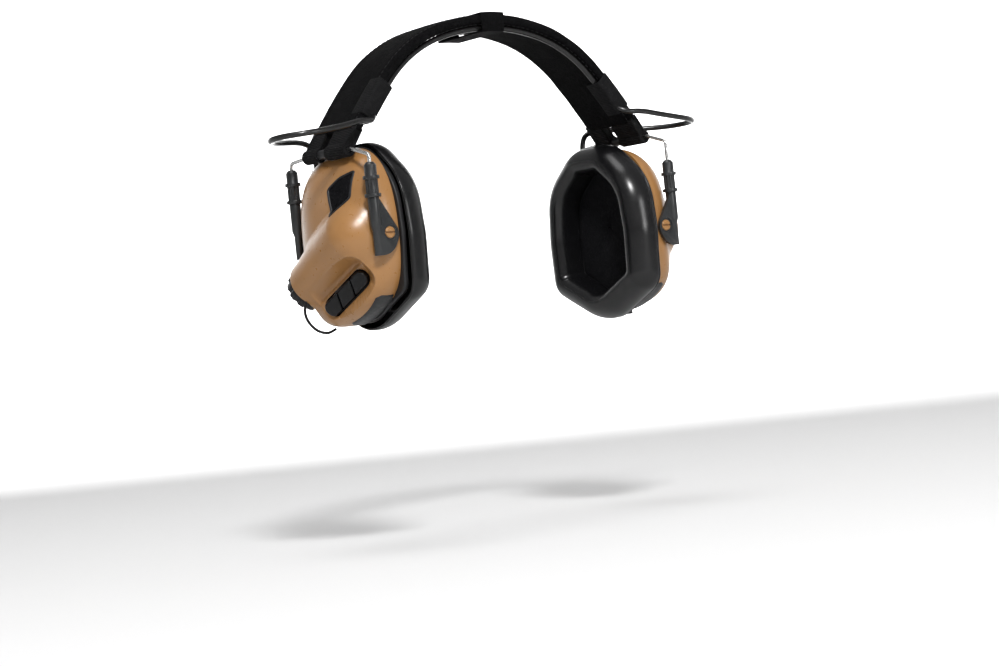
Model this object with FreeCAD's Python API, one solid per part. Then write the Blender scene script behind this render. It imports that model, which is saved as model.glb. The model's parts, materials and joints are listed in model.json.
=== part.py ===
import FreeCAD, Part
import math
import os
from FreeCAD import Vector

# Electronic over-head earmuff, in millimetres. +Z is up, the wearer faces -Y and the wearer's right
# ear is on the -X side. The origin is midway between the ears, level with the right cup's pivot.
# Everything is drawn for the right side and mirrored in the YZ plane for the left.

os.makedirs("parts", exist_ok=True)

X, Y, Z = Vector(1, 0, 0), Vector(0, 1, 0), Vector(0, 0, 1)
LEFT_DROP = 7.0                 # the left cup is stored this much further down its wires

# Cup, drawn along the side-to-side axis from the rim plane outward
RIM_X = -90.0                   # rim plane of the right shell
SHELL_HALF_WIDTH = 37.6         # front to back, at the rim
SHELL_HALF_HEIGHT = 48.5        # at the rim
SHELL_DEPTH = 25.0              # crown of the shell outside the rim plane
SHELL_POWER = 2.5               # how square the shell's outline is
SHELL_WALL = 2.4
PLATE_THICK = 3.0
PLATE_INSET = 2.2               # the back plate stands this far inside the cushion's outline
CUSHION_THICK = 17.0
CUSHION_RING = 16.5             # width of the cushion's ring
CUSHION_OUTLINE = [(14.5, 50.8), (40.0, 29.5), (42.6, 0), (39.8, -32), (0, -52)]
CUSHION_CORNERS = [22, 35, 60, 9, 30]

# Pivot, arms and fork
STUD_X = -96.8
STUD_RADIUS = 3.2
STUD_CLEARANCE = 0.06
ARM_X, ARM_Y = -104.2, 37.7     # axis of the wire leg in each arm
WIRE_RADIUS = 1.0
WIRE_CLEARANCE = 0.07
ARM_TOP, ARM_BOTTOM = 19.0, -11.8
TUBE_RADIUS = 3.1
TUBE_END = 4.0                  # the round tube narrows to a rib below this height
RIB_WIDTH = 4.4
WEB_INNER, WEB_OUTER = 37.95, 39.95
LOBE_RADIUS = 5.2
COLLET_TOP, FLANGE_HIGH, FLANGE_LOW = 37.5, 29.4, 19.9
FLANGE_RADIUS, FLANGE_THICK = 4.4, 1.8
LEG_END = 0.0                   # lower end of each wire leg
LEG_BORE_END = -2.0             # lower end of the bore it slides in
FORK_BEND_Z = 41.6              # where the legs turn in towards the band
REAR_LIFT = 4.2                 # the rear arm stands this much higher on its stud than the front one
REAR_BEND_LIFT = 3.6            # and the rear leg turns in this much higher
WIRE_BEND = 2.4

# Headband
HINGE_X, HINGE_Z = -104.2, 46.4
CROWN_Z = 115.7                 # middle of the band's thickness, at the top
CROWN_RADIUS, CROWN_ANGLE = 122.0, math.radians(17)
SHOULDER_RADIUS, SHOULDER_ANGLE = 84.0, math.radians(48)
BAND_HALF_WIDTH = 20.5
BAND_HALF_THICK = 2.9
COVER_WALL = 1.2
SPRING_RADIUS, SPRING_Y = 1.1, 17.0
LEAD_RADIUS, LEAD_Y = 1.6, 16.5
LEAD_OFFSET = -4.7              # the lead runs under the cover, beside its front edge
ROLL_RADIUS, SLEEVE_RADIUS = 4.0, 2.7
ROLL_SLOT = (-1.0, 7.0)         # opening between the two straps of the end loop
COVER_START = 12.0              # the cover ends this far along the band from the hinge

# Battery barrel, along the lower rear of the shell
BARREL_FRONT = Vector(-107, -17, -0.5)
BARREL_AXIS = Vector(0, 0.883, -0.47)
BARREL_LENGTH = 45.5
BARREL_RADIUS, BARREL_WALL = 14.0, 2.1
TUBE_OUT, TUBE_IN = 11.7, 10.8
CELL_RADIUS, CELL_LENGTH = 5.2, 44.5
CAP_RADIUS, CAP_LENGTH, CAP_NECK = 12.4, 6.0, 10.3
CAP_POCKET, POCKET_WALL = 13.7, 1.2   # round hollow in the shell that the cap sits in

# Keypad recess on the lower front of the shell
KEYPAD_CENTRE = Vector(-105.2, -7.6, -30.0)
KEYPAD_ALONG = Vector(0.1427, -0.8551, 0.4951)
KEYPAD_OUT = Vector(-0.836, -0.372, -0.402)
KEYPAD_HALF_LENGTH, KEYPAD_HALF_WIDTH = 18.6, 5.4
RECESS_WALL = 1.5               # wall under the recess, beside the battery tube
BUTTON_TRAVEL = 0.8
KEY_HALF_WIDTH, KEY_HEIGHT, KEY_SLANT = 4.7, 2.6, 0.6   # the gaps between keys run at this slope

# Microphone window in the upper front of the shell: corners front to back and up
WINDOW = [(-23.6, 34.0), (-10.4, 26.8), (-10.6, 11.4), (-22.3, 18.0)]
WINDOW_FRAME = 1.1

# Places inside the cup: speaker, baffle screws (front to back, up), cable gland and audio socket
SPEAKER = Vector(-91.6, 0, 14)
SCREW_PLACES = [(-19, 36.5), (19, 36.5), (-21, -35), (21, -35)]
GLAND = Vector(-95.2, 26.0, 37.0)
GLAND_STAND = 3.2               # the gland stands this far out of the shell
SOCKET = Vector(-101.0, 8.5, -46.5)
SOCKET_BORE, SOCKET_DEPTH = 1.75, 16.4

# Each key's extent along the keypad, and the strap that ties the battery cap to the shell
BUTTONS = {"volume_up_button": (6.4, 18.0), "power_button": (-6.0, 6.0), "volume_down_button": (-18.0, -6.4)}
TETHER_ROUTE = [(-115.6, 18.7, -30.9), (-116.6, 20.3, -36.9), (-114.2, 20.9, -42.6), (-110.6, 18.6, -47.6),
                (-106.2, 14.8, -49.6), (-103.4, 11.0, -47.4)]

# The lead outside the band: it rises behind the band's rear edge, goes out in a loop, comes back to
# the front edge and goes in under the cover
LEAD_EXIT = 33.0                # distance along the band from the hinge to where the cover holds it
LEAD_ROUTE = [(-95.2, 26.2, 47.0), (-98.0, 26.0, 53.4), (-105.5, 23.5, 55.2), (-117.0, 17.5, 54.9),
              (-128.5, 10.0, 54.0), (-139.5, 0.5, 53.6), (-145.8, -9.5, 53.9), (-144.5, -19.5, 54.4),
              (-135.5, -27.0, 55.0), (-122.0, -29.8, 56.3), (-108.5, -28.6, 58.6), (-98.8, -26.5, 60.8)]


def save(name, shape):
    shape.exportStep("parts/" + name + ".step")


def mirrored(shape, drop=0.0):
    """The left side's copy of a right-side shape, moved down by drop."""
    copy = shape.mirror(Vector(0, 0, 0), X)
    copy.translate(Vector(0, 0, -drop))
    return copy


def group(shapes):
    return Part.makeCompound(shapes)


def cut_all(shape, tools):
    for tool in tools:
        shape = shape.cut(tool)
    return shape


def fuse_all(shapes):
    result = shapes[0]
    for shape in shapes[1:]:
        result = result.fuse(shape)
    return result.removeSplitter()


def rod(start, end, radius):
    return Part.makeCylinder(radius, (end - start).Length, start, end - start)


def disc(centre, axis, radius, thick):
    return Part.makeCylinder(radius, thick, centre, axis)


def box_between(low, high):
    return Part.makeBox(high[0] - low[0], high[1] - low[1], high[2] - low[2], Vector(*low))


# ---- outlines in planes of constant X -------------------------------------------------------

def inset_polygon(points, inset):
    """Corners of a convex polygon after each side moves inward by inset."""
    count = len(points)
    centre = (sum(p[0] for p in points) / count, sum(p[1] for p in points) / count)
    sides = []
    for a, b in zip(points, points[1:] + points[:1]):
        normal = (b[1] - a[1], a[0] - b[0])
        length = math.hypot(*normal)
        normal = (normal[0] / length, normal[1] / length)
        if (centre[0] - a[0]) * normal[0] + (centre[1] - a[1]) * normal[1] < 0:
            normal = (-normal[0], -normal[1])
        sides.append((normal, normal[0] * a[0] + normal[1] * a[1] + inset))
    corners = []
    for (n1, d1), (n2, d2) in zip(sides[-1:] + sides[:-1], sides):
        det = n1[0] * n2[1] - n1[1] * n2[0]
        corners.append(((d1 * n2[1] - d2 * n1[1]) / det, (n1[0] * d2 - n2[0] * d1) / det))
    return corners


def closed_path(corners, radii):
    """A closed wire of straight sides joined by tangent arcs of the given radii."""
    edges = []
    joints = []
    count = len(corners)
    for i, corner in enumerate(corners):
        inward = (corner - corners[i - 1]).normalize()
        outward = (corners[(i + 1) % count] - corner).normalize()
        half = inward.getAngle(outward) / 2
        reach = radii[i] * math.tan(half)
        bisector = (outward - inward).normalize()
        middle = corner + bisector * (radii[i] / math.cos(half) - radii[i])
        joints.append((corner - inward * reach, middle, corner + outward * reach))
    for i, (start, middle, end) in enumerate(joints):
        edges.append(Part.Arc(start, middle, end).toShape())
        following = joints[(i + 1) % count][0]
        edges.append(Part.LineSegment(end, following).toShape())
    return Part.Wire(edges)


def cushion_outline(x, inset):
    """The cup's soft outline, symmetric front to back, drawn inset from the cushion's edge."""
    half = [(y, z) for y, z in CUSHION_OUTLINE]
    whole = half + [(-y, z) for y, z in reversed(half) if y > 0]
    radii = CUSHION_CORNERS + [r for (y, z), r in reversed(list(zip(half, CUSHION_CORNERS))) if y > 0]
    moved = inset_polygon(whole, inset)
    return closed_path([Vector(x, y, z) for y, z in moved], [max(r - inset, 4.0) for r in radii])


def oval(x, half_width, top, bottom, count=40):
    """A superellipse whose upper and lower halves have their own heights."""
    points = []
    for i in range(count):
        angle = 2 * math.pi * i / count
        c, s = math.cos(angle), math.sin(angle)
        y = half_width * math.copysign(abs(c) ** (2 / SHELL_POWER), c)
        height = top if s > 0 else bottom
        points.append(Vector(x, y, height * math.copysign(abs(s) ** (2 / SHELL_POWER), s)))
    curve = Part.BSplineCurve()
    curve.interpolate(Points=points, PeriodicFlag=True)
    return Part.Wire(curve.toShape())


def slab(wire, thick):
    """A solid from a closed wire in a plane of constant X, grown towards +X."""
    return Part.Face(wire).extrude(Vector(thick, 0, 0))


def shell_sizes(depth, shrink=0.0):
    """Half width, top and bottom of the shell's outer face at a depth outside the rim plane."""
    share = depth / (SHELL_DEPTH - shrink)
    width = (SHELL_HALF_WIDTH - shrink) * (1 - share ** 2.6) ** (1 / 2.2)
    top = (SHELL_HALF_HEIGHT - shrink) * (1 - share ** 1.6) ** (1 / 1.9)
    bottom = (SHELL_HALF_HEIGHT - shrink) * (1 - share ** 5) ** (1 / 1.8)
    return width, top, bottom


def dome(shrink=0.0):
    """The shell's smooth outer form, or its inner form when shrunk by the wall."""
    depths = [0.0, 2.0, 5.0, 9.0, 13.0, 17.0, 20.5, 23.0, 24.4]
    scale = (SHELL_DEPTH - shrink) / SHELL_DEPTH
    wires = [oval(RIM_X - d * scale, *shell_sizes(d * scale, shrink)) for d in depths]
    return Part.makeLoft(wires, True, False)


# ---- battery barrel -------------------------------------------------------------------------

def barrel_point(along):
    return BARREL_FRONT + BARREL_AXIS * along


def barrel(radius, length):
    """The round barrel with its domed front end."""
    body = disc(BARREL_FRONT, BARREL_AXIS, radius, length)
    nose = Part.makeSphere(radius, BARREL_FRONT)
    return fuse_all([body, nose])


# ---- keypad frame ---------------------------------------------------------------------------

KEYPAD_ACROSS = KEYPAD_ALONG.cross(KEYPAD_OUT).normalize()


def keypad_point(along, across, out):
    return KEYPAD_CENTRE + KEYPAD_ALONG * along + KEYPAD_ACROSS * across + KEYPAD_OUT * out


def keypad_wire(along, across, out, corner):
    """A rounded rectangle parallel to the keypad floor; along and across are (low, high)."""
    corners = [(along[0], across[0]), (along[1], across[0]), (along[1], across[1]), (along[0], across[1])]
    return closed_path([keypad_point(a, b, out) for a, b in corners], [corner] * 4)


def keypad_block(along, across, low, high, corner):
    face = Part.Face(keypad_wire(along, across, low, corner))
    return face.extrude(KEYPAD_OUT * (high - low))


def recess_tool(grow):
    """The tapered hollow above the keypad floor, grown by the wall for the inner form."""
    floor = keypad_wire((-19.8 - grow, 20.4 + grow), (-7.6 - grow, 7.2 + grow), -grow, 5.5 + grow)
    mouth = keypad_wire((-23.5 - grow, 24.0 + grow), (-15.5 - grow, 10.5 + grow), 13, 7.5 + grow)
    return Part.makeLoft([floor, mouth], True, True)


# ---- microphone window ----------------------------------------------------------------------

def window_block(inset, x_low, x_high):
    """A slanted four-sided prism along X through the microphone window."""
    corners = inset_polygon(WINDOW, inset)
    wire = closed_path([Vector(x_low, y, z) for y, z in corners], [1.6] * 4)
    return slab(wire, x_high - x_low)


# ---- cup ------------------------------------------------------------------------------------

def shell_outer():
    form = dome().fuse(barrel(BARREL_RADIUS, BARREL_LENGTH))
    keep = box_between((RIM_X - 60, -60, -60), (RIM_X, 60, 60))
    return form.common(keep)


def stud_holes():
    return rod(Vector(STUD_X, -60, 0), Vector(STUD_X, 60, 0), STUD_RADIUS)


def cup_shell(with_keypad):
    """The tan shell: domed, hollow, with a battery barrel and a window for the microphone."""
    bore = BARREL_RADIUS - BARREL_WALL
    solid = shell_outer()
    hollow = dome(SHELL_WALL).fuse(barrel(bore, BARREL_LENGTH - BARREL_WALL))
    if with_keypad:
        solid = solid.cut(recess_tool(0))
        solid = solid.cut(disc(barrel_point(BARREL_LENGTH), BARREL_AXIS, CAP_POCKET, 30))
        hollow = hollow.cut(recess_tool(RECESS_WALL))
        pocket = disc(barrel_point(BARREL_LENGTH - POCKET_WALL), BARREL_AXIS, CAP_POCKET + POCKET_WALL, 30)
        hollow = hollow.cut(pocket).fuse(disc(barrel_point(10), BARREL_AXIS, bore, BARREL_LENGTH))
    shell = solid.cut(hollow)
    tools = [window_block(0, -130, -95), stud_holes()]
    tools += [rod(Vector(GLAND.x, GLAND.y, 20), Vector(GLAND.x, GLAND.y, 60), 3.0)]
    if with_keypad:
        tools.append(keypad_block((-18.6, 18.6), (-5.4, 5.4), -4, 1, 5.3))
    shell = cut_all(shell, tools)
    return biggest(shell)


def biggest(shape):
    """The largest solid of a shape."""
    return max(shape.Solids, key=lambda s: s.Volume)


def back_plate():
    plate = slab(cushion_outline(RIM_X, PLATE_INSET), PLATE_THICK)
    opening = slab(cushion_outline(RIM_X - 1, PLATE_INSET + 12), PLATE_THICK + 2)
    return plate.cut(opening)


def cushion():
    """Plain closed ring of the ear cushion, its face rounded towards the head."""
    start = RIM_X + PLATE_THICK
    ring = slab(cushion_outline(start, 0), CUSHION_THICK)
    hole = slab(cushion_outline(start - 1, CUSHION_RING), CUSHION_THICK + 2)
    ring = ring.cut(hole)
    face_x = start + CUSHION_THICK
    rim = [e for e in ring.Edges if e.BoundBox.XMin > face_x - 0.01]
    outer = [e for e in rim if math.hypot(e.CenterOfMass.y, e.CenterOfMass.z) > 33]
    return ring.makeFillet(6.0, outer)


def baffle():
    """Speaker baffle closing the shell, with a grille of round holes over the speaker."""
    plate = slab(oval(RIM_X - 1.6, 34.8, 45.2, 45.2), 1.6)
    holes = [disc(Vector(RIM_X - 3, SPEAKER.y, SPEAKER.z), X, 1.2, 5)]
    for ring, count in ((4.5, 8), (8.5, 14), (12.5, 20)):
        for i in range(count):
            angle = 2 * math.pi * i / count
            y = SPEAKER.y + ring * math.cos(angle)
            z = SPEAKER.z + ring * math.sin(angle)
            holes.append(disc(Vector(RIM_X - 3, y, z), X, 0.9, 5))
    for y, z in SCREW_PLACES:
        holes.append(disc(Vector(RIM_X - 3, y, z), X, 1.25, 5))
    return plate.cut(group(holes))


def speaker():
    basket = disc(SPEAKER, -X, 16.0, 3.2)
    magnet = disc(SPEAKER - X * 3.2, -X, 9.0, 3.2)
    return fuse_all([basket, magnet])


def liner_foam():
    return slab(cushion_outline(RIM_X, PLATE_INSET + 12.2), 2.6)


def screws():
    """Self-tapping screws that hold the baffle in the shell."""
    items = []
    for y, z in SCREW_PLACES:
        head = disc(Vector(RIM_X - 2.5, y, z), -X, 2.1, 0.9)
        shank = disc(Vector(RIM_X, y, z), -X, 1.2, 6.0)
        items.append(fuse_all([head, shank]))
    return group(items)


def circuit_board():
    board = box_between((-101.6, -16.5, 18.5), (-100.0, 16, 32))
    chip = box_between((-100.1, -6, 20), (-98.9, 4, 28))
    coil = disc(Vector(-101.5, 8, 25), -X, 3.4, 3.0)
    return fuse_all([board, chip, coil])


def mic_capsule():
    return disc(Vector(-101.6, -13.2, 24.5), -X, 3.0, 4.0)


def offset_skin(low, high):
    """The layer of space from low to high above the shell's smooth dome."""
    return grown_dome(high).cut(grown_dome(low))


def grown_dome(amount):
    """The dome grown outward by an amount, or shrunk when it is negative."""
    base = dome()
    centre = Vector(RIM_X, 0, 0)
    matrix = FreeCAD.Matrix()
    matrix.scale(1 + amount / SHELL_DEPTH, 1 + amount / SHELL_HALF_WIDTH, 1 + amount / SHELL_HALF_HEIGHT)
    base.translate(-centre)
    grown = base.transformGeometry(matrix)
    grown.translate(centre)
    return grown


def mic_bezel():
    frame = window_block(0.05, -130, -96).cut(window_block(WINDOW_FRAME, -131, -95))
    return biggest(frame.common(offset_skin(-SHELL_WALL, 0.5)))


def mic_foam():
    return biggest(window_block(WINDOW_FRAME, -130, -96).common(offset_skin(-SHELL_WALL, -0.5)))


def pivot_studs():
    """Slotted pins, one front and one rear, that the arms swing on."""
    studs = []
    for side in (-1, 1):
        pin = rod(Vector(STUD_X, side * 35.6, 0), Vector(STUD_X, side * (WEB_OUTER - 0.1), 0), STUD_RADIUS)
        slot = box_between((STUD_X - 4, -0.4, -0.4), (STUD_X + 4, 0.4, 0.4))
        slot.translate(Vector(0, side * (WEB_OUTER - 0.1), 0))
        studs.append(pin.cut(slot))
    return group(studs)


def label_plate():
    """Blank plate that follows the lower front wall of the shell, beside the rim."""
    skin = grown_dome(0.55).cut(grown_dome(0.0))
    place = box_between((RIM_X - 8.5, -32, -60), (RIM_X - 0.8, 3, -31.5))
    return biggest(skin.common(place).cut(shell_outer()))


def cable_gland():
    """Flanged gland on the top of the shell, where the lead goes in."""
    body = rod(Vector(GLAND.x, GLAND.y, 33.0), Vector(GLAND.x, GLAND.y, GLAND.z + GLAND_STAND), 2.95)
    return body.cut(rod(Vector(GLAND.x, GLAND.y, 30), Vector(GLAND.x, GLAND.y, 60), LEAD_RADIUS))


# ---- battery and keypad ---------------------------------------------------------------------

def battery_tube():
    tube = disc(barrel_point(-1.0), BARREL_AXIS, TUBE_OUT, BARREL_LENGTH + 0.5)
    return tube.cut(disc(barrel_point(-2.0), BARREL_AXIS, TUBE_IN, BARREL_LENGTH + 6))


def battery_cells():
    across = BARREL_AXIS.cross(X).normalize()
    cells = []
    for side in (-1, 1):
        start = barrel_point(-1.4) + across * (side * 5.3)
        body = disc(start, BARREL_AXIS, CELL_RADIUS, CELL_LENGTH - 1.0 - 3.5)
        nub = disc(start + BARREL_AXIS * (CELL_LENGTH - 5.0), BARREL_AXIS, 1.9, 1.3)
        cells.append(fuse_all([body, nub]))
    return group(cells)


def battery_contacts():
    """End plate with two coil-spring stacks that press on the cells."""
    across = BARREL_AXIS.cross(X).normalize()
    plate = disc(barrel_point(-4.0), BARREL_AXIS, TUBE_IN - 0.2, 0.5)
    parts = [plate]
    for side in (-1, 1):
        centre = barrel_point(-3.7) + across * (side * 5.3)
        parts.append(disc(centre, BARREL_AXIS, 2.8, 2.2))
    return fuse_all(parts)


def battery_cap():
    """Quarter-turn cap: a gripped ring outside and a plain neck inside the tube."""
    start = barrel_point(BARREL_LENGTH + 1.3)
    ring = disc(start, BARREL_AXIS, CAP_RADIUS, CAP_LENGTH)
    first = BARREL_AXIS.cross(X).normalize()
    second = BARREL_AXIS.cross(first).normalize()
    notches = []
    for i in range(12):
        angle = 2 * math.pi * i / 12
        spoke = first * math.cos(angle) + second * math.sin(angle)
        centre = start + spoke * (CAP_RADIUS + 0.8)
        notches.append(disc(centre - BARREL_AXIS, BARREL_AXIS, 1.7, CAP_LENGTH + 2))
    ring = ring.cut(group(notches))
    coin_slot = disc(start + BARREL_AXIS * (CAP_LENGTH - 1.0), BARREL_AXIS, 5.0, 2)
    neck = disc(start - BARREL_AXIS * 4.3, BARREL_AXIS, CAP_NECK, 5.3)
    return fuse_all([ring.cut(coin_slot), neck])


def cap_tether():
    """Flat strap from a loose ring round the cap's neck down to the shell."""
    start = barrel_point(BARREL_LENGTH + 0.1)
    ring = disc(start, BARREL_AXIS, 13.2, 0.9).cut(disc(start - BARREL_AXIS, BARREL_AXIS, CAP_NECK + 0.4, 3))
    strap = tube_along(rounded_path([Vector(*p) for p in TETHER_ROUTE])[0], 0.9)
    return fuse_all([ring, strap])


def keypad_base():
    """Rubber pad that closes the slot in the keypad floor and carries the buttons."""
    return keypad_block((-18.4, 18.4), (-5.2, 5.2), -2.2, -0.9, 5.1)


def button(along):
    """A rounded key that stands proud of the floor and travels straight in, its inner ends slanted."""
    low, high = along[0] + 0.15, along[1] - 0.15
    first, last = low < -15, high > 15
    low_lean = 0.0 if first else KEY_SLANT * KEY_HALF_WIDTH
    high_lean = 0.0 if last else KEY_SLANT * KEY_HALF_WIDTH
    start = BUTTON_TRAVEL - 0.6
    places = [(low + low_lean, -KEY_HALF_WIDTH), (high + high_lean, -KEY_HALF_WIDTH),
              (high - high_lean, KEY_HALF_WIDTH), (low - low_lean, KEY_HALF_WIDTH)]
    low_radius, high_radius = (4.4 if first else 0.9), (4.4 if last else 0.9)
    corners = [keypad_point(a, c, start) for a, c in places]
    wire = closed_path(corners, [low_radius, high_radius, high_radius, low_radius])
    return Part.Face(wire).extrude(KEYPAD_OUT * (KEY_HEIGHT - start))


# ---- arms and forks -------------------------------------------------------------------------

def arm(side):
    """One moulded arm: round tube, outer rib, and a web that swells to a lobe round the stud."""
    y = side * ARM_Y
    lift = REAR_LIFT if side > 0 else 0.0
    top, bottom, narrow = ARM_TOP + lift, ARM_BOTTOM + lift, TUBE_END + lift
    tube = rod(Vector(ARM_X, y, narrow), Vector(ARM_X, y, top), TUBE_RADIUS)
    taper = Part.makeCone(RIB_WIDTH / 2, TUBE_RADIUS, 3.0, Vector(ARM_X, y, narrow - 3.0), Z)
    rib = rod(Vector(ARM_X, y, bottom), Vector(ARM_X, y, narrow), RIB_WIDTH / 2)
    lobe = [Vector(ARM_X, 0, top), Vector(ARM_X + 2.6, 0, top - 1.5)]
    edge = Vector(STUD_X + LOBE_RADIUS * math.cos(0.55), 0, LOBE_RADIUS * math.sin(0.55))
    side_point = Vector(STUD_X + LOBE_RADIUS, 0, 0)
    low_point = Vector(STUD_X + LOBE_RADIUS - 1.5, 0, -5.6)
    foot = Vector(ARM_X + 2.0, 0, bottom)
    edges = [Part.LineSegment(lobe[0], lobe[1]).toShape(),
             Part.LineSegment(lobe[1], edge).toShape(),
             Part.Arc(edge, side_point, low_point).toShape(),
             Part.Arc(low_point, Vector(STUD_X - 0.2, 0, -10.2 + 0.65 * lift), foot).toShape(),
             Part.LineSegment(foot, Vector(ARM_X, 0, bottom)).toShape(),
             Part.LineSegment(Vector(ARM_X, 0, bottom), lobe[0]).toShape()]
    web = Part.Face(Part.Wire(edges)).extrude(Vector(0, WEB_OUTER - WEB_INNER, 0))
    web.translate(Vector(0, WEB_INNER if side > 0 else -WEB_OUTER, 0))
    body = fuse_all([tube, taper, rib, web])
    pin_hole = rod(Vector(STUD_X, side * 30, 0), Vector(STUD_X, side * 50, 0), STUD_RADIUS + STUD_CLEARANCE)
    dish = rod(Vector(STUD_X, side * (WEB_OUTER - 0.6), 0), Vector(STUD_X, side * 50, 0), STUD_RADIUS + 1.0)
    bore = rod(Vector(ARM_X, y, LEG_BORE_END), Vector(ARM_X, y, 60), WIRE_RADIUS + WIRE_CLEARANCE)
    return cut_all(body, [pin_hole, dish, bore])


def collets():
    """The two collets: a domed cap, a flange, a ribbed sleeve and a lower flange, bored for the wire."""
    items = []
    for side in (-1, 1):
        y = side * ARM_Y
        cap = rod(Vector(ARM_X, y, FLANGE_HIGH + 0.9), Vector(ARM_X, y, COLLET_TOP - 1.6), 3.3)
        dome_top = Part.makeCone(3.3, 2.0, 1.6, Vector(ARM_X, y, COLLET_TOP - 1.6), Z)
        sleeve = rod(Vector(ARM_X, y, ARM_TOP), Vector(ARM_X, y, FLANGE_HIGH + 1), 2.9)
        flanges = [disc(Vector(ARM_X, y, z - FLANGE_THICK / 2), Z, FLANGE_RADIUS, FLANGE_THICK)
                   for z in (FLANGE_HIGH, FLANGE_LOW)]
        ribs = []
        for i in range(12):
            angle = 2 * math.pi * i / 12
            place = Vector(ARM_X + 2.9 * math.cos(angle), y + 2.9 * math.sin(angle), FLANGE_LOW)
            ribs.append(disc(place, Z, 0.45, FLANGE_HIGH - FLANGE_LOW))
        body = fuse_all([cap, dome_top, sleeve] + flanges + ribs)
        bore = rod(Vector(ARM_X, y, 0), Vector(ARM_X, y, 60), WIRE_RADIUS + WIRE_CLEARANCE)
        item = body.cut(bore)
        item.translate(Vector(0, 0, REAR_LIFT if side > 0 else 0))
        items.append(item)
    return group(items)


def bent_wire(points, bend, radius):
    """A round wire through points, each corner bent to the same radius."""
    edges = []
    start = points[0]
    for before, corner, after in zip(points, points[1:], points[2:]):
        inward, outward = (corner - before).normalize(), (after - corner).normalize()
        half = inward.getAngle(outward) / 2
        reach = bend * math.tan(half)
        bisector = (outward - inward).normalize()
        middle = corner + bisector * (bend / math.cos(half) - bend)
        edges.append(Part.LineSegment(start, corner - inward * reach).toShape())
        edges.append(Part.Arc(corner - inward * reach, middle, corner + outward * reach).toShape())
        start = corner + outward * reach
    edges.append(Part.LineSegment(start, points[-1]).toShape())
    return tube_along(Part.Wire(edges), radius)


def tube_along(path, radius):
    start = path.Edges[0].Vertexes[0].Point
    tangent = path.Edges[0].tangentAt(path.Edges[0].FirstParameter)
    circle = Part.Wire(Part.Circle(start, tangent, radius).toShape())
    return path.makePipeShell([circle], True, False)


def fork_wire():
    """One steel wire: two legs and the cross bar that turns in the band's end loop."""
    points = [Vector(ARM_X, -ARM_Y, LEG_END), Vector(ARM_X, -ARM_Y, FORK_BEND_Z),
              Vector(HINGE_X, -BAND_HALF_WIDTH - 1.5, HINGE_Z), Vector(HINGE_X, BAND_HALF_WIDTH + 1.5, HINGE_Z),
              Vector(ARM_X, ARM_Y, FORK_BEND_Z + REAR_BEND_LIFT), Vector(ARM_X, ARM_Y, LEG_END)]
    return bent_wire(points, WIRE_BEND, WIRE_RADIUS)


# ---- headband -------------------------------------------------------------------------------

def on_circle(centre, radius, angle, y=0.0):
    """A point of a circle in an XZ plane; the angle is from straight up, towards -X."""
    return Vector(centre.x - radius * math.sin(angle), y, centre.z + radius * math.cos(angle))


def band_arcs():
    """Centre and radius of the three arcs of the right half, and the angle at the hinge.

    The crown arc and the shoulder arc are given; the side arc leaves the shoulder in line with
    it and passes through the hinge axis.
    """
    crown = Vector(0, 0, CROWN_Z - CROWN_RADIUS)
    top_end = on_circle(crown, CROWN_RADIUS, CROWN_ANGLE)
    shoulder = on_circle(top_end, -SHOULDER_RADIUS, CROWN_ANGLE)
    low_end = on_circle(shoulder, SHOULDER_RADIUS, SHOULDER_ANGLE)
    inward = Vector(math.sin(SHOULDER_ANGLE), 0, -math.cos(SHOULDER_ANGLE))
    chord = low_end - Vector(HINGE_X, 0, HINGE_Z)
    side_radius = -chord.dot(chord) / (2 * inward.dot(chord))
    side = low_end + inward * side_radius
    hinge_angle = math.atan2(side.x - HINGE_X, HINGE_Z - side.z)
    return [(crown, CROWN_RADIUS), (shoulder, SHOULDER_RADIUS), (side, side_radius)], hinge_angle


ARCS, HINGE_ANGLE = band_arcs()


def arch_point(offset, angle, y=0.0):
    """A point of the right half, offset outward from the middle line; angle is from straight up."""
    index = 0 if angle <= CROWN_ANGLE else 1 if angle <= SHOULDER_ANGLE else 2
    centre, radius = ARCS[index]
    return on_circle(centre, radius + offset, angle, y)


def other_side(point):
    return Vector(-point.x, point.y, point.z)


def arch_edges(offset, end_angle, y=0.0):
    """Arcs from the right end over the crown to the left end."""
    right = []
    for high, low in ((end_angle, SHOULDER_ANGLE), (SHOULDER_ANGLE, CROWN_ANGLE)):
        right.append([arch_point(offset, a, y) for a in (high, (high + low) / 2 - 1e-6, low)])
    left = [[other_side(p) for p in reversed(arc)] for arc in reversed(right)]
    crown = [right[-1][-1], arch_point(offset, 0, y), left[0][0]]
    return [Part.Arc(*arc).toShape() for arc in right + [crown] + left]


def arch_strip(low, high, y_low, y_high, end_angle):
    outer = arch_edges(high, end_angle)
    inner = arch_edges(low, end_angle)
    right = Part.LineSegment(arch_point(low, end_angle), arch_point(high, end_angle)).toShape()
    left = right.mirror(Vector(0, 0, 0), X)
    wire = Part.Wire(Part.__sortEdges__(outer + inner + [right, left]))
    strip = Part.Face(wire).extrude(Vector(0, y_high - y_low, 0))
    strip.translate(Vector(0, y_low, 0))
    return strip


def end_angle(distance):
    """The angle at a distance along the band from the hinge."""
    return HINGE_ANGLE - distance / ARCS[2][1]


def arch_rod(radius, offset, y, end):
    return tube_along(Part.Wire(arch_edges(offset, end, y)), radius)


def band_springs():
    end = end_angle(SLEEVE_RADIUS + 0.1)
    return group([arch_rod(SPRING_RADIUS, 0, side * SPRING_Y, end) for side in (-1, 1)])


def band_lead():
    """The stretch of lead held under the cover's front edge, from one side's exit to the other."""
    return arch_rod(LEAD_RADIUS, LEAD_OFFSET, -LEAD_Y, end_angle(LEAD_EXIT))


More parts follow.
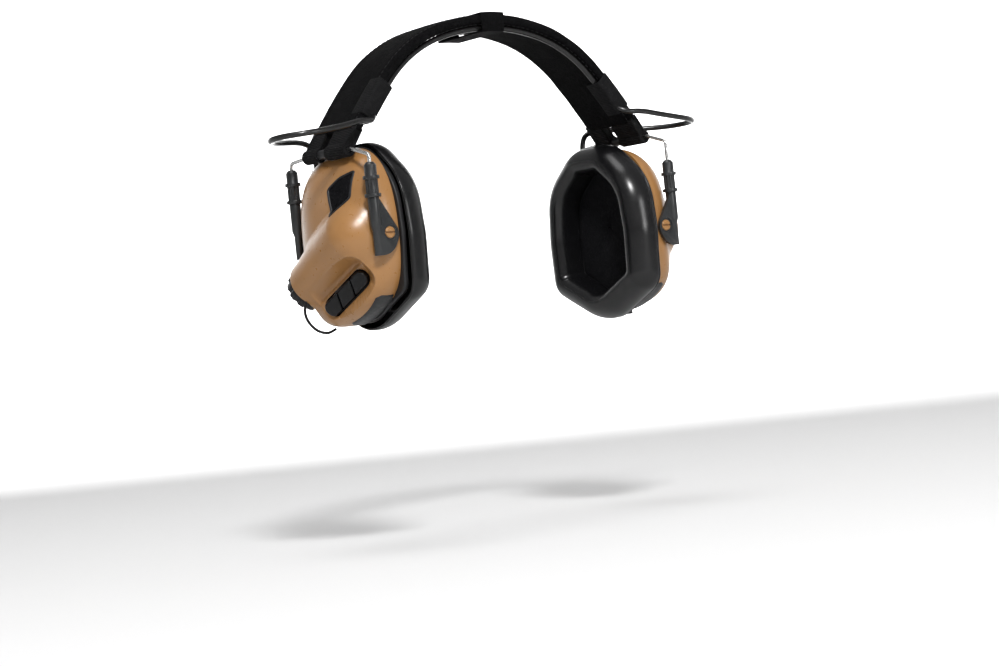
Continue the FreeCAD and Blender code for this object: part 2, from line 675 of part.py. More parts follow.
def band_cover():
    """Fabric sleeve of the band, hollow for the springs and the pad."""
    end = end_angle(COVER_START)
    outer = arch_strip(-BAND_HALF_THICK, BAND_HALF_THICK, -BAND_HALF_WIDTH, BAND_HALF_WIDTH, end)
    inside = arch_strip(COVER_WALL - BAND_HALF_THICK, BAND_HALF_THICK - COVER_WALL,
                        COVER_WALL - BAND_HALF_WIDTH, BAND_HALF_WIDTH - COVER_WALL, end + 0.05)
    return outer.cut(inside)


def band_pad():
    """Foam strip inside the cover, between the springs."""
    half = BAND_HALF_THICK - COVER_WALL - 0.05
    end = end_angle(COVER_START + 1)
    edge = SPRING_Y - SPRING_RADIUS - 0.3
    return arch_strip(-half, half, -edge, edge, end)


def band_wrap():
    """Closing wrap round the crown of the cover and the lead under it."""
    angle = 8.0 / CROWN_RADIUS
    points = []
    for offset in (BAND_HALF_THICK + 0.9, LEAD_OFFSET - LEAD_RADIUS - 0.9):
        points.append([arch_point(offset, angle), arch_point(offset, 0), other_side(arch_point(offset, angle))])
    edges = [Part.Arc(*points[0]).toShape(), Part.LineSegment(points[0][2], points[1][2]).toShape(),
             Part.Arc(*reversed(points[1])).toShape(), Part.LineSegment(points[1][0], points[0][0]).toShape()]
    face = Part.Face(Part.Wire(edges))
    block = face.extrude(Vector(0, 2 * BAND_HALF_WIDTH + 1.8, 0))
    block.translate(Vector(0, -BAND_HALF_WIDTH - 0.9, 0))
    core = arch_strip(LEAD_OFFSET - LEAD_RADIUS, BAND_HALF_THICK, -BAND_HALF_WIDTH, BAND_HALF_WIDTH, 0.9)
    return block.cut(core)


def hinge_sleeve():
    """Plastic sleeve that the fork's cross bar turns in."""
    front, back = Vector(HINGE_X, -19.5, HINGE_Z), Vector(HINGE_X, 19.5, HINGE_Z)
    bore = rod(front - Y, back + Y, WIRE_RADIUS + WIRE_CLEARANCE)
    return rod(front, back, SLEEVE_RADIUS).cut(bore)


def end_loop():
    """Ribbed webbing rolled round the hinge sleeve in two straps, with a slot between them."""
    straps = []
    half = BAND_HALF_THICK
    low, high = end_angle(COVER_START), end_angle(0)
    inner = [arch_point(-half, a) for a in (high, (low + high) / 2, low)]
    outer = [arch_point(half, a) for a in (low, (low + high) / 2, high)]
    edges = [Part.Arc(*inner).toShape(), Part.LineSegment(inner[2], outer[0]).toShape(),
             Part.Arc(*outer).toShape(), Part.LineSegment(outer[2], inner[0]).toShape()]
    face = Part.Face(Part.Wire(edges))
    for y_low, y_high in ((-BAND_HALF_WIDTH, ROLL_SLOT[0]), (ROLL_SLOT[1], BAND_HALF_WIDTH)):
        tongue = face.extrude(Vector(0, y_high - y_low, 0))
        tongue.translate(Vector(0, y_low, 0))
        roll = rod(Vector(HINGE_X, y_low, HINGE_Z), Vector(HINGE_X, y_high, HINGE_Z), ROLL_RADIUS)
        strap = fuse_all([tongue, roll])
        strap = strap.cut(rod(Vector(HINGE_X, -30, HINGE_Z), Vector(HINGE_X, 30, HINGE_Z), SLEEVE_RADIUS))
        straps.append(strap.cut(band_springs()))
    return group(straps)


# ---- lead -----------------------------------------------------------------------------------

def rounded_path(points):
    """Straight runs joined by tangent arcs, each as large as its two runs allow, and the radii."""
    edges = []
    radii = []
    start = points[0]
    for before, corner, after in zip(points, points[1:], points[2:]):
        run_in, run_out = corner - before, after - corner
        half = run_in.getAngle(run_out) / 2
        reach = 0.45 * min(run_in.Length, run_out.Length)
        radius = reach / math.tan(half)
        inward, outward = run_in.normalize(), run_out.normalize()
        bisector = (outward - inward).normalize()
        middle = corner + bisector * (radius / math.cos(half) - radius)
        edges.append(Part.LineSegment(start, corner - inward * reach).toShape())
        edges.append(Part.Arc(corner - inward * reach, middle, corner + outward * reach).toShape())
        start = corner + outward * reach
        radii.append(radius)
    edges.append(Part.LineSegment(start, points[-1]).toShape())
    return Part.Wire(edges), radii


def side_lead(drop):
    """The loop of lead from the band's front edge to the gland of a cup that hangs lower by drop."""
    start = Vector(GLAND.x, GLAND.y, GLAND.z + GLAND_STAND - drop)
    rise = [start, start + Z * (drop - 0.5)] if drop else [start]
    under = [arch_point(LEAD_OFFSET + 0.4, end_angle(LEAD_EXIT - 12), -BAND_HALF_WIDTH - 3),
             arch_point(LEAD_OFFSET, end_angle(LEAD_EXIT - 5), -LEAD_Y),
             arch_point(LEAD_OFFSET, end_angle(LEAD_EXIT), -LEAD_Y)]
    path, radii = rounded_path(rise + [Vector(*p) for p in LEAD_ROUTE] + under)
    print("lead length", round(path.Length, 1), "radii", [round(r, 1) for r in radii])
    tube = tube_along(path, LEAD_RADIUS)
    print("lead volume ratio", round(tube.Volume / (path.Length * math.pi * LEAD_RADIUS ** 2), 3))
    return tube


# ---- audio socket of the left cup -----------------------------------------------------------

def audio_socket():
    """Round socket for a 3.5 mm plug, opening downwards."""
    mouth = SOCKET - Z * 2.4
    body = rod(SOCKET + Z * 16, mouth, 4.0)
    return body.cut(disc(mouth, Z, SOCKET_BORE, SOCKET_DEPTH))


def socket_hole():
    return rod(SOCKET + Z * 20, SOCKET - Z * 10, 4.0)


# ---- everything, written out ----------------------------------------------------------------

def common_cup():
    """The cup parts that both sides have."""
    return {"back_plate": back_plate(), "cushion": cushion(), "liner_foam": liner_foam(), "baffle": baffle(),
            "speaker": speaker(), "circuit_board": circuit_board(), "mic_bezel": mic_bezel(),
            "mic_foam": mic_foam(), "mic_capsule": mic_capsule(), "pivot_studs": pivot_studs(),
            "screws": screws(), "label_plate": label_plate(), "cable_gland": cable_gland()}


def main():
    cup = common_cup()
    arms = {"front_arm": arm(-1), "rear_arm": arm(1), "collets": collets()}
    for name, shape in {**cup, **arms}.items():
        save("right_" + name, shape)
        save("left_" + name, mirrored(shape, LEFT_DROP))
    save("right_shell", cup_shell(True))
    save("left_shell", mirrored(cup_shell(False).cut(socket_hole()), LEFT_DROP))
    save("left_audio_socket", mirrored(audio_socket(), LEFT_DROP))
    save("right_battery_tube", battery_tube())
    save("right_battery_cells", battery_cells())
    save("right_battery_contacts", battery_contacts())
    save("right_battery_cap", battery_cap())
    save("right_cap_tether", cap_tether())
    save("right_keypad_base", keypad_base())
    for name, along in BUTTONS.items():
        save(name, button(along))
    save("band_springs", band_springs())
    save("band_cover", band_cover())
    save("band_pad", band_pad())
    save("band_wrap", band_wrap())
    save("band_lead", band_lead())
    for name, shape in (("fork", fork_wire()), ("hinge_sleeve", hinge_sleeve()), ("end_loop", end_loop())):
        save("right_" + name, shape)
        save("left_" + name, mirrored(shape))
    save("right_lead", side_lead(0))
    save("left_lead", mirrored(side_lead(LEFT_DROP)))


main()
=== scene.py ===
import bmesh
import bpy
import json
import math
import numpy as np
from mathutils import Matrix, Vector


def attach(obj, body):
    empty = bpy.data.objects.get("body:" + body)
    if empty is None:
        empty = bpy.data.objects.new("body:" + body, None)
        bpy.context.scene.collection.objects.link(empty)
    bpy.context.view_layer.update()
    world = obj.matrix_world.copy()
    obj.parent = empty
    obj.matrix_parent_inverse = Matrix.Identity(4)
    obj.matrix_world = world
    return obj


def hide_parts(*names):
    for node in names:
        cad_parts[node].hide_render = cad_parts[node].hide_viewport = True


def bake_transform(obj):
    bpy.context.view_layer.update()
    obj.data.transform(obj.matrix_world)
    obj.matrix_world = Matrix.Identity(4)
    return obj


# Electronic over-head earmuff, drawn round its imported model. The row frame has +Z up, the wearer
# facing -Y and the wearer's right ear on the -X side. Shapes are worked out in millimetres and
# turned into metres where each mesh is made.

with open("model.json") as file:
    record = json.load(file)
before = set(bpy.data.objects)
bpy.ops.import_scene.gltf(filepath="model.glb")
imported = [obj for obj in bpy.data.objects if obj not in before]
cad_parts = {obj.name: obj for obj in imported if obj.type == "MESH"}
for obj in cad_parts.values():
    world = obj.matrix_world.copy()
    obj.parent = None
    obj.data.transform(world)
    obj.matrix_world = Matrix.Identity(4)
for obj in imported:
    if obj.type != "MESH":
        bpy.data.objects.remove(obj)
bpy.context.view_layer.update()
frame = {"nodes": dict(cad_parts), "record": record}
NODES = frame["nodes"]
MM = 0.001
SLIVER = 0.00004                # edges shorter than this, in metres, are merged after a cut
LEFT_DROP = 7.0                 # the left cup hangs this much lower than the right one


# ---- camera, light and floor ------------------------------------------------------------------

CAMERA_TARGET = Vector((-0.0010, 0.0005, -0.0589))
CAMERA_DISTANCE = 1.3058
CAMERA_AZIMUTH, CAMERA_ELEVATION, CAMERA_ROLL = (math.radians(a) for a in (37.592, 0.241, -5.899))
CAMERA_LENS, SENSOR_WIDTH = 83.50, 36.0


def new_object(name, data):
    """An object in the scene for a mesh, curve, lamp or camera."""
    made = bpy.data.objects.new(name, data)
    bpy.context.scene.collection.objects.link(made)
    return made


def add_camera():
    back = Vector((-math.sin(CAMERA_AZIMUTH) * math.cos(CAMERA_ELEVATION),
                   -math.cos(CAMERA_AZIMUTH) * math.cos(CAMERA_ELEVATION),
                   math.sin(CAMERA_ELEVATION)))
    level = (-back).cross(Vector((0, 0, 1))).normalized()
    upright = level.cross(-back)
    c, s = math.cos(CAMERA_ROLL), math.sin(CAMERA_ROLL)
    right, up = c * level + s * upright, c * upright - s * level
    data = bpy.data.cameras.new("camera")
    data.lens, data.sensor_width = CAMERA_LENS, SENSOR_WIDTH
    data.clip_start, data.clip_end = 0.05, 50
    camera = new_object("camera", data)
    matrix = Matrix((right, up, back)).transposed().to_4x4()
    matrix.translation = CAMERA_TARGET + back * CAMERA_DISTANCE
    camera.matrix_world = matrix
    bpy.context.scene.camera = camera


def add_area_light(name, place, aim, size, power):
    data = bpy.data.lights.new(name, "AREA")
    data.shape, data.size, data.energy = "DISK", size, power
    lamp = new_object(name, data)
    lamp.location = place
    lamp.rotation_euler = (Vector(aim) - Vector(place)).to_track_quat("-Z", "Y").to_euler()


def add_studio():
    """A pale bowl-shaped floor whose rim rises out of view, soft lamps and an even white sky."""
    floor_z, flat, rise, steps = -0.17, 4.0, 3.0, 12
    profile = [(0.0, floor_z), (flat, floor_z)]
    for i in range(1, steps + 1):
        angle = math.pi / 2 * i / steps
        profile.append((flat + rise * math.sin(angle), floor_z + rise * (1 - math.cos(angle))))
    around = 96
    verts = [(0, 0, floor_z)]
    for radius, z in profile[1:]:
        turns = [2 * math.pi * k / around for k in range(around)]
        verts += [(radius * math.cos(t), radius * math.sin(t), z) for t in turns]
    faces = [(0, 1 + k, 1 + (k + 1) % around) for k in range(around)]
    for ring in range(len(profile) - 2):
        a, b = 1 + ring * around, 1 + (ring + 1) * around
        faces += [(a + k, b + k, b + (k + 1) % around, a + (k + 1) % around) for k in range(around)]
    mesh = bpy.data.meshes.new("floor")
    mesh.from_pydata(verts, [], faces)
    mesh.shade_smooth()
    floor = new_object("floor", mesh)
    material, shader, _ = new_material("floor_paper")
    shader.inputs["Base Color"].default_value = (0.72, 0.72, 0.72, 1)
    shader.inputs["Roughness"].default_value = 0.9
    floor.data.materials.append(material)
    world = bpy.data.worlds.new("studio_sky")
    bpy.context.scene.world = world
    world.use_nodes = True
    sky = world.node_tree.nodes["Background"].inputs
    sky["Color"].default_value = (1, 1, 1, 1)
    sky["Strength"].default_value = 0.38
    add_area_light("key", (-0.8, -1.55, 1.45), (-0.05, 0, 0.02), 0.40, 44)
    add_area_light("strip", (0.1, -1.9, 0.35), (-0.05, 0, 0), 0.35, 6)
    add_area_light("top", (-0.3, -0.1, 2.0), (0, 0, 0), 0.9, 9)
    add_area_light("backdrop", (1.3, 1.8, 2.6), (3.9, 4.8, 0.6), 2.5, 760)
    bpy.context.scene.view_settings.view_transform = "Standard"


# ---- materials --------------------------------------------------------------------------------

def new_material(name):
    material = bpy.data.materials.new(name)
    material.use_nodes = True
    tree = material.node_tree
    return material, tree.nodes["Principled BSDF"], tree


def add_node(tree, kind, inputs=None, **settings):
    node = tree.nodes.new(kind)
    for key, value in settings.items():
        setattr(node, key, value)
    for key, value in (inputs or {}).items():
        if isinstance(value, bpy.types.NodeSocket):
            tree.links.new(value, node.inputs[key])
        else:
            node.inputs[key].default_value = value
    return node


def noise(tree, scale, detail=3.0, roughness=0.5):
    """Noise in the piece's own coordinates; scale is in features per metre."""
    place = add_node(tree, "ShaderNodeTexCoord").outputs["Object"]
    inputs = {"Vector": place, "Scale": scale, "Detail": detail, "Roughness": roughness}
    return add_node(tree, "ShaderNodeTexNoise", inputs).outputs["Fac"]


def cells(tree, scale):
    place = add_node(tree, "ShaderNodeTexCoord").outputs["Object"]
    return add_node(tree, "ShaderNodeTexVoronoi", {"Vector": place, "Scale": scale}).outputs["Distance"]


def ramp(tree, factor, low, high, start=0.3, end=0.7):
    """A colour that goes from low to high as factor goes from start to end."""
    node = add_node(tree, "ShaderNodeValToRGB", {"Fac": factor})
    for element, place, value in zip(node.color_ramp.elements, (start, end), (low, high)):
        element.position = place
        element.color = (*value, 1) if hasattr(value, "__len__") else (value, value, value, 1)
    return node.outputs["Color"]


def add_bump(tree, shader, heights):
    """Bump from a list of (height output, strength, depth in metres), one on top of the other."""
    normal = None
    for height, strength, depth in heights:
        inputs = {"Height": height, "Strength": strength, "Distance": depth}
        if normal is not None:
            inputs["Normal"] = normal
        normal = add_node(tree, "ShaderNodeBump", inputs).outputs["Normal"]
    tree.links.new(normal, shader.inputs["Normal"])


def surface(name, dark, light, rough, bumps, patch=60, sheen=0.0, metallic=0.0, coat=0.0, specular=0.5):
    """A finish with colour and roughness that vary over the piece.

    dark and light are the colours at the ends of the variation, rough its roughness range, and
    bumps a list of (kind, features per metre, strength, depth in metres).
    """
    material, shader, tree = new_material(name)
    mottle = noise(tree, patch, 4.0, 0.6)
    tree.links.new(ramp(tree, mottle, dark, light), shader.inputs["Base Color"])
    grain = noise(tree, patch * 9, 3.0)
    tree.links.new(ramp(tree, grain, rough[0], rough[1]), shader.inputs["Roughness"])
    shader.inputs["Metallic"].default_value = metallic
    shader.inputs["Sheen Weight"].default_value = sheen
    shader.inputs["Sheen Roughness"].default_value = 0.4
    shader.inputs["Coat Weight"].default_value = coat
    shader.inputs["Specular IOR Level"].default_value = specular
    kinds = {"noise": noise, "cells": cells}
    heights = [(kinds[kind](tree, scale), strength, depth) for kind, scale, strength, depth in bumps]
    add_bump(tree, shader, heights)
    return material


def make_materials():
    return {
        "tan_plastic": surface("tan_plastic", (0.285, 0.140, 0.047), (0.315, 0.156, 0.053), (0.27, 0.34),
                               [("noise", 1100, 0.05, 0.0001)], patch=45),
        "black_plastic": surface("black_plastic", (0.007, 0.007, 0.008), (0.012, 0.012, 0.013), (0.36, 0.48),
                                 [("noise", 3500, 0.20, 0.0002)], specular=0.35),
        "arm_plastic": surface("arm_plastic", (0.013, 0.014, 0.015), (0.018, 0.019, 0.020), (0.28, 0.34),
                               [("noise", 2800, 0.12, 0.0002)], patch=90, specular=0.5),
        "leatherette": surface("leatherette", (0.003, 0.003, 0.0035), (0.005, 0.005, 0.0055), (0.24, 0.27),
                               [("cells", 2600, 0.02, 0.0001)], patch=25, specular=0.40),
        "foam": surface("foam", (0.002, 0.002, 0.003), (0.010, 0.010, 0.011), (0.85, 0.95),
                        [("cells", 1700, 0.9, 0.0005), ("noise", 3000, 0.5, 0.0003)], patch=1500,
                        specular=0.08),
        "velour": surface("velour", (0.0015, 0.0015, 0.0018), (0.006, 0.006, 0.0065), (0.88, 0.98),
                          [("noise", 1400, 0.8, 0.0008), ("noise", 5200, 0.9, 0.0004)], patch=700,
                          sheen=0.004, specular=0.05),
        "webbing": surface("webbing", (0.003, 0.003, 0.0035), (0.008, 0.008, 0.0085), (0.65, 0.80),
                           [("noise", 4000, 0.6, 0.0003)], patch=500, specular=0.12),
        "cable": surface("cable", (0.006, 0.006, 0.006), (0.010, 0.010, 0.010), (0.16, 0.24),
                         [("noise", 900, 0.05, 0.0002)], specular=0.45),
        "rubber": surface("rubber", (0.002, 0.002, 0.0025), (0.004, 0.004, 0.0045), (0.32, 0.42),
                          [("noise", 3300, 0.20, 0.0002)], specular=0.25),
        "steel": surface("steel", (0.55, 0.55, 0.54), (0.72, 0.72, 0.71), (0.20, 0.32),
                         [("noise", 2400, 0.12, 0.0001)], patch=200, metallic=1.0),
        "metal_part": surface("metal_part", (0.42, 0.42, 0.43), (0.55, 0.55, 0.56), (0.30, 0.45),
                              [("noise", 2000, 0.2, 0.0001)], patch=150, metallic=1.0),
        "circuit": surface("circuit", (0.010, 0.075, 0.030), (0.020, 0.110, 0.045), (0.25, 0.40),
                           [("cells", 900, 0.3, 0.0002)], patch=400),
        "cell": surface("cell", (0.10, 0.11, 0.13), (0.16, 0.17, 0.20), (0.25, 0.35),
                        [("noise", 800, 0.1, 0.0002)], metallic=0.6),
        "label": surface("label", (0.006, 0.006, 0.007), (0.011, 0.011, 0.012), (0.42, 0.55),
                         [("noise", 1500, 0.10, 0.0001)]),
        "thread": surface("thread", (0.004, 0.004, 0.005), (0.012, 0.012, 0.013), (0.5, 0.7),
                          [("noise", 6000, 0.4, 0.0002)], patch=900, specular=0.2),
    }


def paint_nodes():
    """Gives every CAD node the material of its slot in the record."""
    for row in frame["record"]["subparts"]:
        node = NODES[row["node"]]
        node.data.materials.clear()
        node.data.materials.append(MATERIALS[row["material_slot"]])


# ---- mesh helpers -----------------------------------------------------------------------------

def add_mesh(name, points, faces, slot, body, replaced=(), smooth=True):
    """A piece from points in millimetres, riding on a body."""
    mesh = bpy.data.meshes.new(name)
    mesh.from_pydata((np.asarray(points, float) * MM).tolist(), [], faces)
    mesh.validate()
    if smooth:
        mesh.shade_smooth()
    piece = new_object(name, mesh)
    return finish_piece(piece, slot, body, replaced)


def finish_piece(piece, slot, body, replaced=()):
    piece.data.materials.clear()
    piece.data.materials.append(MATERIALS[slot])
    if body:
        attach(piece, body)
    if replaced:
        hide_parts(*replaced)
    return piece


def strip_faces(rows, columns, close_rows=False, close_columns=False):
    """Quads of a grid of points stored row by row."""
    faces = []
    for i in range(rows if close_rows else rows - 1):
        for j in range(columns if close_columns else columns - 1):
            k, m = (i + 1) % rows, (j + 1) % columns
            faces.append((i * columns + j, i * columns + m, k * columns + m, k * columns + j))
    return faces


def full_turn(count):
    """Angles all the way round, evenly spaced."""
    return np.linspace(0, 2 * math.pi, count, endpoint=False)


def directions(line):
    """Unit vectors along a line of points."""
    along = np.gradient(line, axis=0)
    return along / np.linalg.norm(along, axis=1)[:, None]


def capped(rows, count):
    """Faces of a closed tube of rows of points, with a flat cap at each end."""
    last = (rows - 1) * count
    return strip_faces(rows, count, close_columns=True) + [
        tuple(reversed(range(count))), tuple(range(last, last + count))]


def flip_side(points, drop=LEFT_DROP):
    """The left side's copy of right-side points."""
    return np.asarray(points, float) * (-1, 1, 1) - (0, 0, drop)


def on_side(side, points, faces, drop=LEFT_DROP):
    """Right-side points and faces, mirrored and lowered by drop when the side is the left one."""
    if side == "right":
        return points, faces
    return flip_side(points, drop), [tuple(reversed(f)) for f in faces]


def rework(mesh, *steps):
    """Runs each step, which takes a bmesh, on a mesh."""
    work = bmesh.new()
    work.from_mesh(mesh)
    for step in steps:
        step(work)
    work.to_mesh(mesh)
    work.free()


def turn_faces_out(work):
    bmesh.ops.recalc_face_normals(work, faces=work.faces)


def split_faces(work):
    """Splits every face, so that none is bent when the piece is cut."""
    bmesh.ops.triangulate(work, faces=work.faces)


def clear_slivers(work):
    """Merges the very short edges and thin faces that the cuts leave."""
    bmesh.ops.remove_doubles(work, verts=work.verts, dist=SLIVER)
    bmesh.ops.dissolve_degenerate(work, dist=SLIVER, edges=work.edges)


# ---- shells -----------------------------------------------------------------------------------

RIM_X = -90.0                   # rim plane of the right shell
SHELL_HALF_WIDTH, SHELL_HALF_HEIGHT, SHELL_DEPTH = 37.6, 48.5, 25.0
SHELL_WALL, SHELL_POWER = 2.4, 2.5
RIM_CENTRE = np.array((RIM_X, 0.0, 0.0))
BARREL_FRONT = np.array((-107.0, -17.0, -0.5))
BARREL_AXIS = np.array((0.0, 0.883, -0.47))
BARREL_RADIUS, BARREL_LENGTH, CAP_POCKET = 14.0, 45.5, 13.7
KEYPAD_CENTRE = np.array((-105.75, -7.7, -28.8))
KEYPAD_ALONG = np.array((0.1427, -0.8551, 0.4951))
KEYPAD_OUT = np.array((-0.836, -0.372, -0.402))
KEYPAD_ACROSS = np.cross(KEYPAD_ALONG, KEYPAD_OUT)
CHAMFER, CHAMFER_REACH = (-0.449, -0.894), 50.5   # the lower front corner runs straight
WINDOW = [(-23.4, 35.4), (-13.6, 32.4), (-5.0, 26.8), (-12.6, 10.2), (-24.2, 20.6)]
WINDOW_CORNERS = [1.6, 9.0, 2.4, 2.0, 3.0]
SOCKET = (-101.0, 8.5)


def soft_max(a, b, width):
    """The larger of a and b, rounded where they are within width of each other."""
    return np.maximum(a, b) + np.maximum(width - np.abs(a - b), 0) ** 2 / (4 * width)


def soft_min(a, b, width):
    return -soft_max(-a, -b, width)


def inside_dome(points):
    share = np.clip((RIM_X - points[..., 0]) / SHELL_DEPTH, 0, 1)
    width = SHELL_HALF_WIDTH * (1 - share ** 2.2) ** (1 / 2.2)
    top = SHELL_HALF_HEIGHT * (1 - share ** 2.0) ** (1 / 2.0)
    bottom = SHELL_HALF_HEIGHT * (1 - share ** 5) ** (1 / 1.8)
    height = np.where(points[..., 2] > 0, top, bottom)
    power = SHELL_POWER + 0.9 * share
    across = (np.abs(points[..., 1]) / np.maximum(width, 1e-6)) ** power
    up = (np.abs(points[..., 2]) / np.maximum(height, 1e-6)) ** power
    slant = points[..., 1] * CHAMFER[0] + points[..., 2] * CHAMFER[1]
    slant = (np.maximum(slant, 0) / (CHAMFER_REACH - 5 * share ** 2)) ** 10
    return (across + up + slant < 1) & (share < 1)


def dome_reach(centre, rays):
    """How far each ray from the centre goes before it leaves the dome."""
    low, high = np.zeros(len(rays)), np.full(len(rays), 80.0)
    for _ in range(26):
        middle = (low + high) / 2
        inside = inside_dome(centre + rays * middle[:, None])
        low, high = np.where(inside, middle, low), np.where(inside, high, middle)
    return low


def barrel_reach(centre, rays):
    """Where each ray leaves the barrel, falling off gently for rays that miss it."""
    offset = BARREL_FRONT - centre
    flat_rays = rays - np.outer(rays @ BARREL_AXIS, BARREL_AXIS)
    flat_offset = offset - (offset @ BARREL_AXIS) * BARREL_AXIS
    steep = np.maximum((flat_rays ** 2).sum(1), 1e-9)
    nearest = (flat_rays @ flat_offset) / steep
    miss = np.linalg.norm(flat_rays * nearest[:, None] - flat_offset, axis=1)
    chord = np.sqrt(np.maximum(BARREL_RADIUS ** 2 - miss ** 2, 0) / steep)
    side = nearest + chord - 3 * np.maximum(miss - BARREL_RADIUS, 0)
    slope = rays @ BARREL_AXIS
    end = (BARREL_LENGTH + 1 + offset @ BARREL_AXIS) / np.maximum(slope, 1e-6)
    side = np.where(slope > 0.01, soft_min(side, end, 2), side)
    along = (rays * side[:, None] - offset) @ BARREL_AXIS
    middle = rays @ offset
    ball_miss = np.linalg.norm(rays * middle[:, None] - offset, axis=1)
    ball = middle + np.sqrt(np.maximum(BARREL_RADIUS ** 2 - ball_miss ** 2, 0))
    ball -= 3 * np.maximum(ball_miss - BARREL_RADIUS, 0)
    return np.where(along < 0, ball, side), along


def recess_gap(points):
    """Distance outside the keypad hollow, negative inside it."""
    local = points - KEYPAD_CENTRE
    along, across, out = local @ KEYPAD_ALONG, local @ KEYPAD_ACROSS, local @ KEYPAD_OUT
    share = np.clip(out / 13, -0.2, 2)
    a_low, a_high = -19.8 - 6.5 * share, 20.6 + 11 * share
    gutter = 1.8 * np.clip((-across - 5) / 2, 0, 1) ** 2
    c_low = -8.5 - (1.26 - 0.033 * np.clip(along, -20, 24)) * (out + 1.8)
    c_high = 3.2 + 0.8 * np.clip(out, 0, 20)
    corner = 5.5 + 2 * share
    a = np.abs(along - (a_low + a_high) / 2) - (a_high - a_low) / 2 + corner
    c = np.abs(across - (c_low + c_high) / 2) - (c_high - c_low) / 2 + corner
    wall = np.hypot(np.maximum(a, 0), np.maximum(c, 0)) + np.minimum(np.maximum(a, c), 0) - corner
    return soft_max(wall, -out - gutter, 1.0)


def recess_reach(centre, rays, limit):
    """Where each ray enters the keypad hollow, or a large value if it doesn't."""
    reach = np.full(len(rays), 200.0)
    near = np.linspace(18, 60, 169)
    for low, high in zip(near, near[1:]):
        entered = (reach > 150) & (recess_gap(centre + rays * high) < 0) & (low < limit)
        if entered.any():
            a, b = np.full(entered.sum(), low), np.full(entered.sum(), high)
            for _ in range(12):
                middle = (a + b) / 2
                inside = recess_gap(centre + rays[entered] * middle[:, None]) < 0
                a, b = np.where(inside, a, middle), np.where(inside, middle, b)
            reach[entered] = a
    return reach


def skin_reach(rays, with_keypad):
    """How far the shell's outer face is from the middle of the rim, along each ray."""
    body = dome_reach(RIM_CENTRE, rays)
    bulge, along = barrel_reach(RIM_CENTRE, rays)
    outer = soft_max(body, bulge, 8 + 5 * np.clip(1 - along / 16, 0, 1))
    rim = np.clip(rays[:, 0] / -0.12, 0, 1)
    outer = outer * rim + body * (1 - rim)
    if with_keypad:
        outer = soft_min(outer, recess_reach(RIM_CENTRE, rays, outer + 1.2), 0.9)
    return outer


def skin_x(places):
    """Where the shell's outer face is, side to side, at each place (front to back, up)."""
    low, high = np.full(len(places), RIM_X - 45.0), np.full(len(places), RIM_X - 1.0)
    for _ in range(18):
        middle = (low + high) / 2
        rays = np.column_stack([middle, places]) - RIM_CENTRE
        distance = np.linalg.norm(rays, axis=1)
        outside = distance > skin_reach(rays / distance[:, None], False)
        low, high = np.where(outside, middle, low), np.where(outside, high, middle)
    return low


def shell_mesh(with_keypad, rings, around):
    """Points and faces of the closed shell: smooth outer face, inner face and rim."""
    centre = RIM_CENTRE
    turn = full_turn(around)
    tilt = np.linspace(0, math.pi / 2, rings + 1)[1:]
    tilt_grid, turn_grid = np.meshgrid(tilt, turn, indexing="ij")
    rays = np.stack([-np.cos(tilt_grid), np.sin(tilt_grid) * np.cos(turn_grid),
                     np.sin(tilt_grid) * np.sin(turn_grid)], -1).reshape(-1, 3)
    rays = np.vstack([[(-1.0, 0.0, 0.0)], rays])
    outer = skin_reach(rays, with_keypad)
    inner = outer - SHELL_WALL
    skin = centre + rays * outer[:, None]
    lining = centre + rays * inner[:, None]
    faces = []
    count = len(rays)
    for base, flip in ((0, False), (count, True)):
        ring_faces = [(base, base + 1 + k, base + 1 + (k + 1) % around) for k in range(around)]
        for face in strip_faces(rings, around, close_columns=True):
            ring_faces.append(tuple(base + 1 + i for i in reversed(face)))
        faces += [tuple(reversed(f)) for f in ring_faces] if flip else ring_faces
    last = 1 + (rings - 1) * around
    for k in range(around):
        m = (k + 1) % around
        faces.append((last + m, last + k, count + last + k, count + last + m))
    return np.vstack([skin, lining]), faces


def rounded_polygon(corners, radii, arc_steps, side_steps=1):
    """Points of a closed convex outline with rounded corners; the same steps for every inset."""
    corners = [np.array(c, float) for c in corners]
    arcs = []
    for i, corner in enumerate(corners):
        inward = corner - corners[i - 1]
        outward = corners[(i + 1) % len(corners)] - corner
        inward, outward = inward / np.linalg.norm(inward), outward / np.linalg.norm(outward)
        turn = math.acos(np.clip(inward @ outward, -1, 1))
        reach = radii[i] * math.tan(turn / 2)
        start = corner - inward * reach
        side = math.copysign(1, inward[0] * outward[1] - inward[1] * outward[0])
        normal = np.array((-inward[1], inward[0])) * side
        angles = np.linspace(0, turn, arc_steps)
        arcs.append([start + radii[i] * (inward * math.sin(a) + normal * (1 - math.cos(a))) for a in angles])
    points = []
    for arc, following in zip(arcs, arcs[1:] + arcs[:1]):
        points += arc
        points += [arc[-1] + (following[0] - arc[-1]) * k / side_steps for k in range(1, side_steps)]
    return np.array(points)


def prism(outline, direction, low, high):
    """A closed solid from 3-D outline points swept from low to high along a direction."""
    direction = np.array(direction, float)
    bottom, top = outline + direction * low, outline + direction * high
    count = len(outline)
    faces = [tuple(range(count)), tuple(reversed(range(count, 2 * count)))]
    faces += [((k + 1) % count, k, count + k, count + (k + 1) % count) for k in range(count)]
    return np.vstack([bottom, top]), faces


def cut_away(piece, tool_points, tool_faces):
    """Cuts a closed solid out of a piece."""
    mesh = bpy.data.meshes.new("tool")
    mesh.from_pydata((tool_points * MM).tolist(), [], tool_faces)
    tool = new_object("tool", mesh)
    rework(mesh, turn_faces_out)
    modifier = piece.modifiers.new("cut", "BOOLEAN")
    modifier.object, modifier.operation, modifier.solver = tool, "DIFFERENCE", "EXACT"
    apply_modifiers(piece)
    bpy.data.objects.remove(tool)


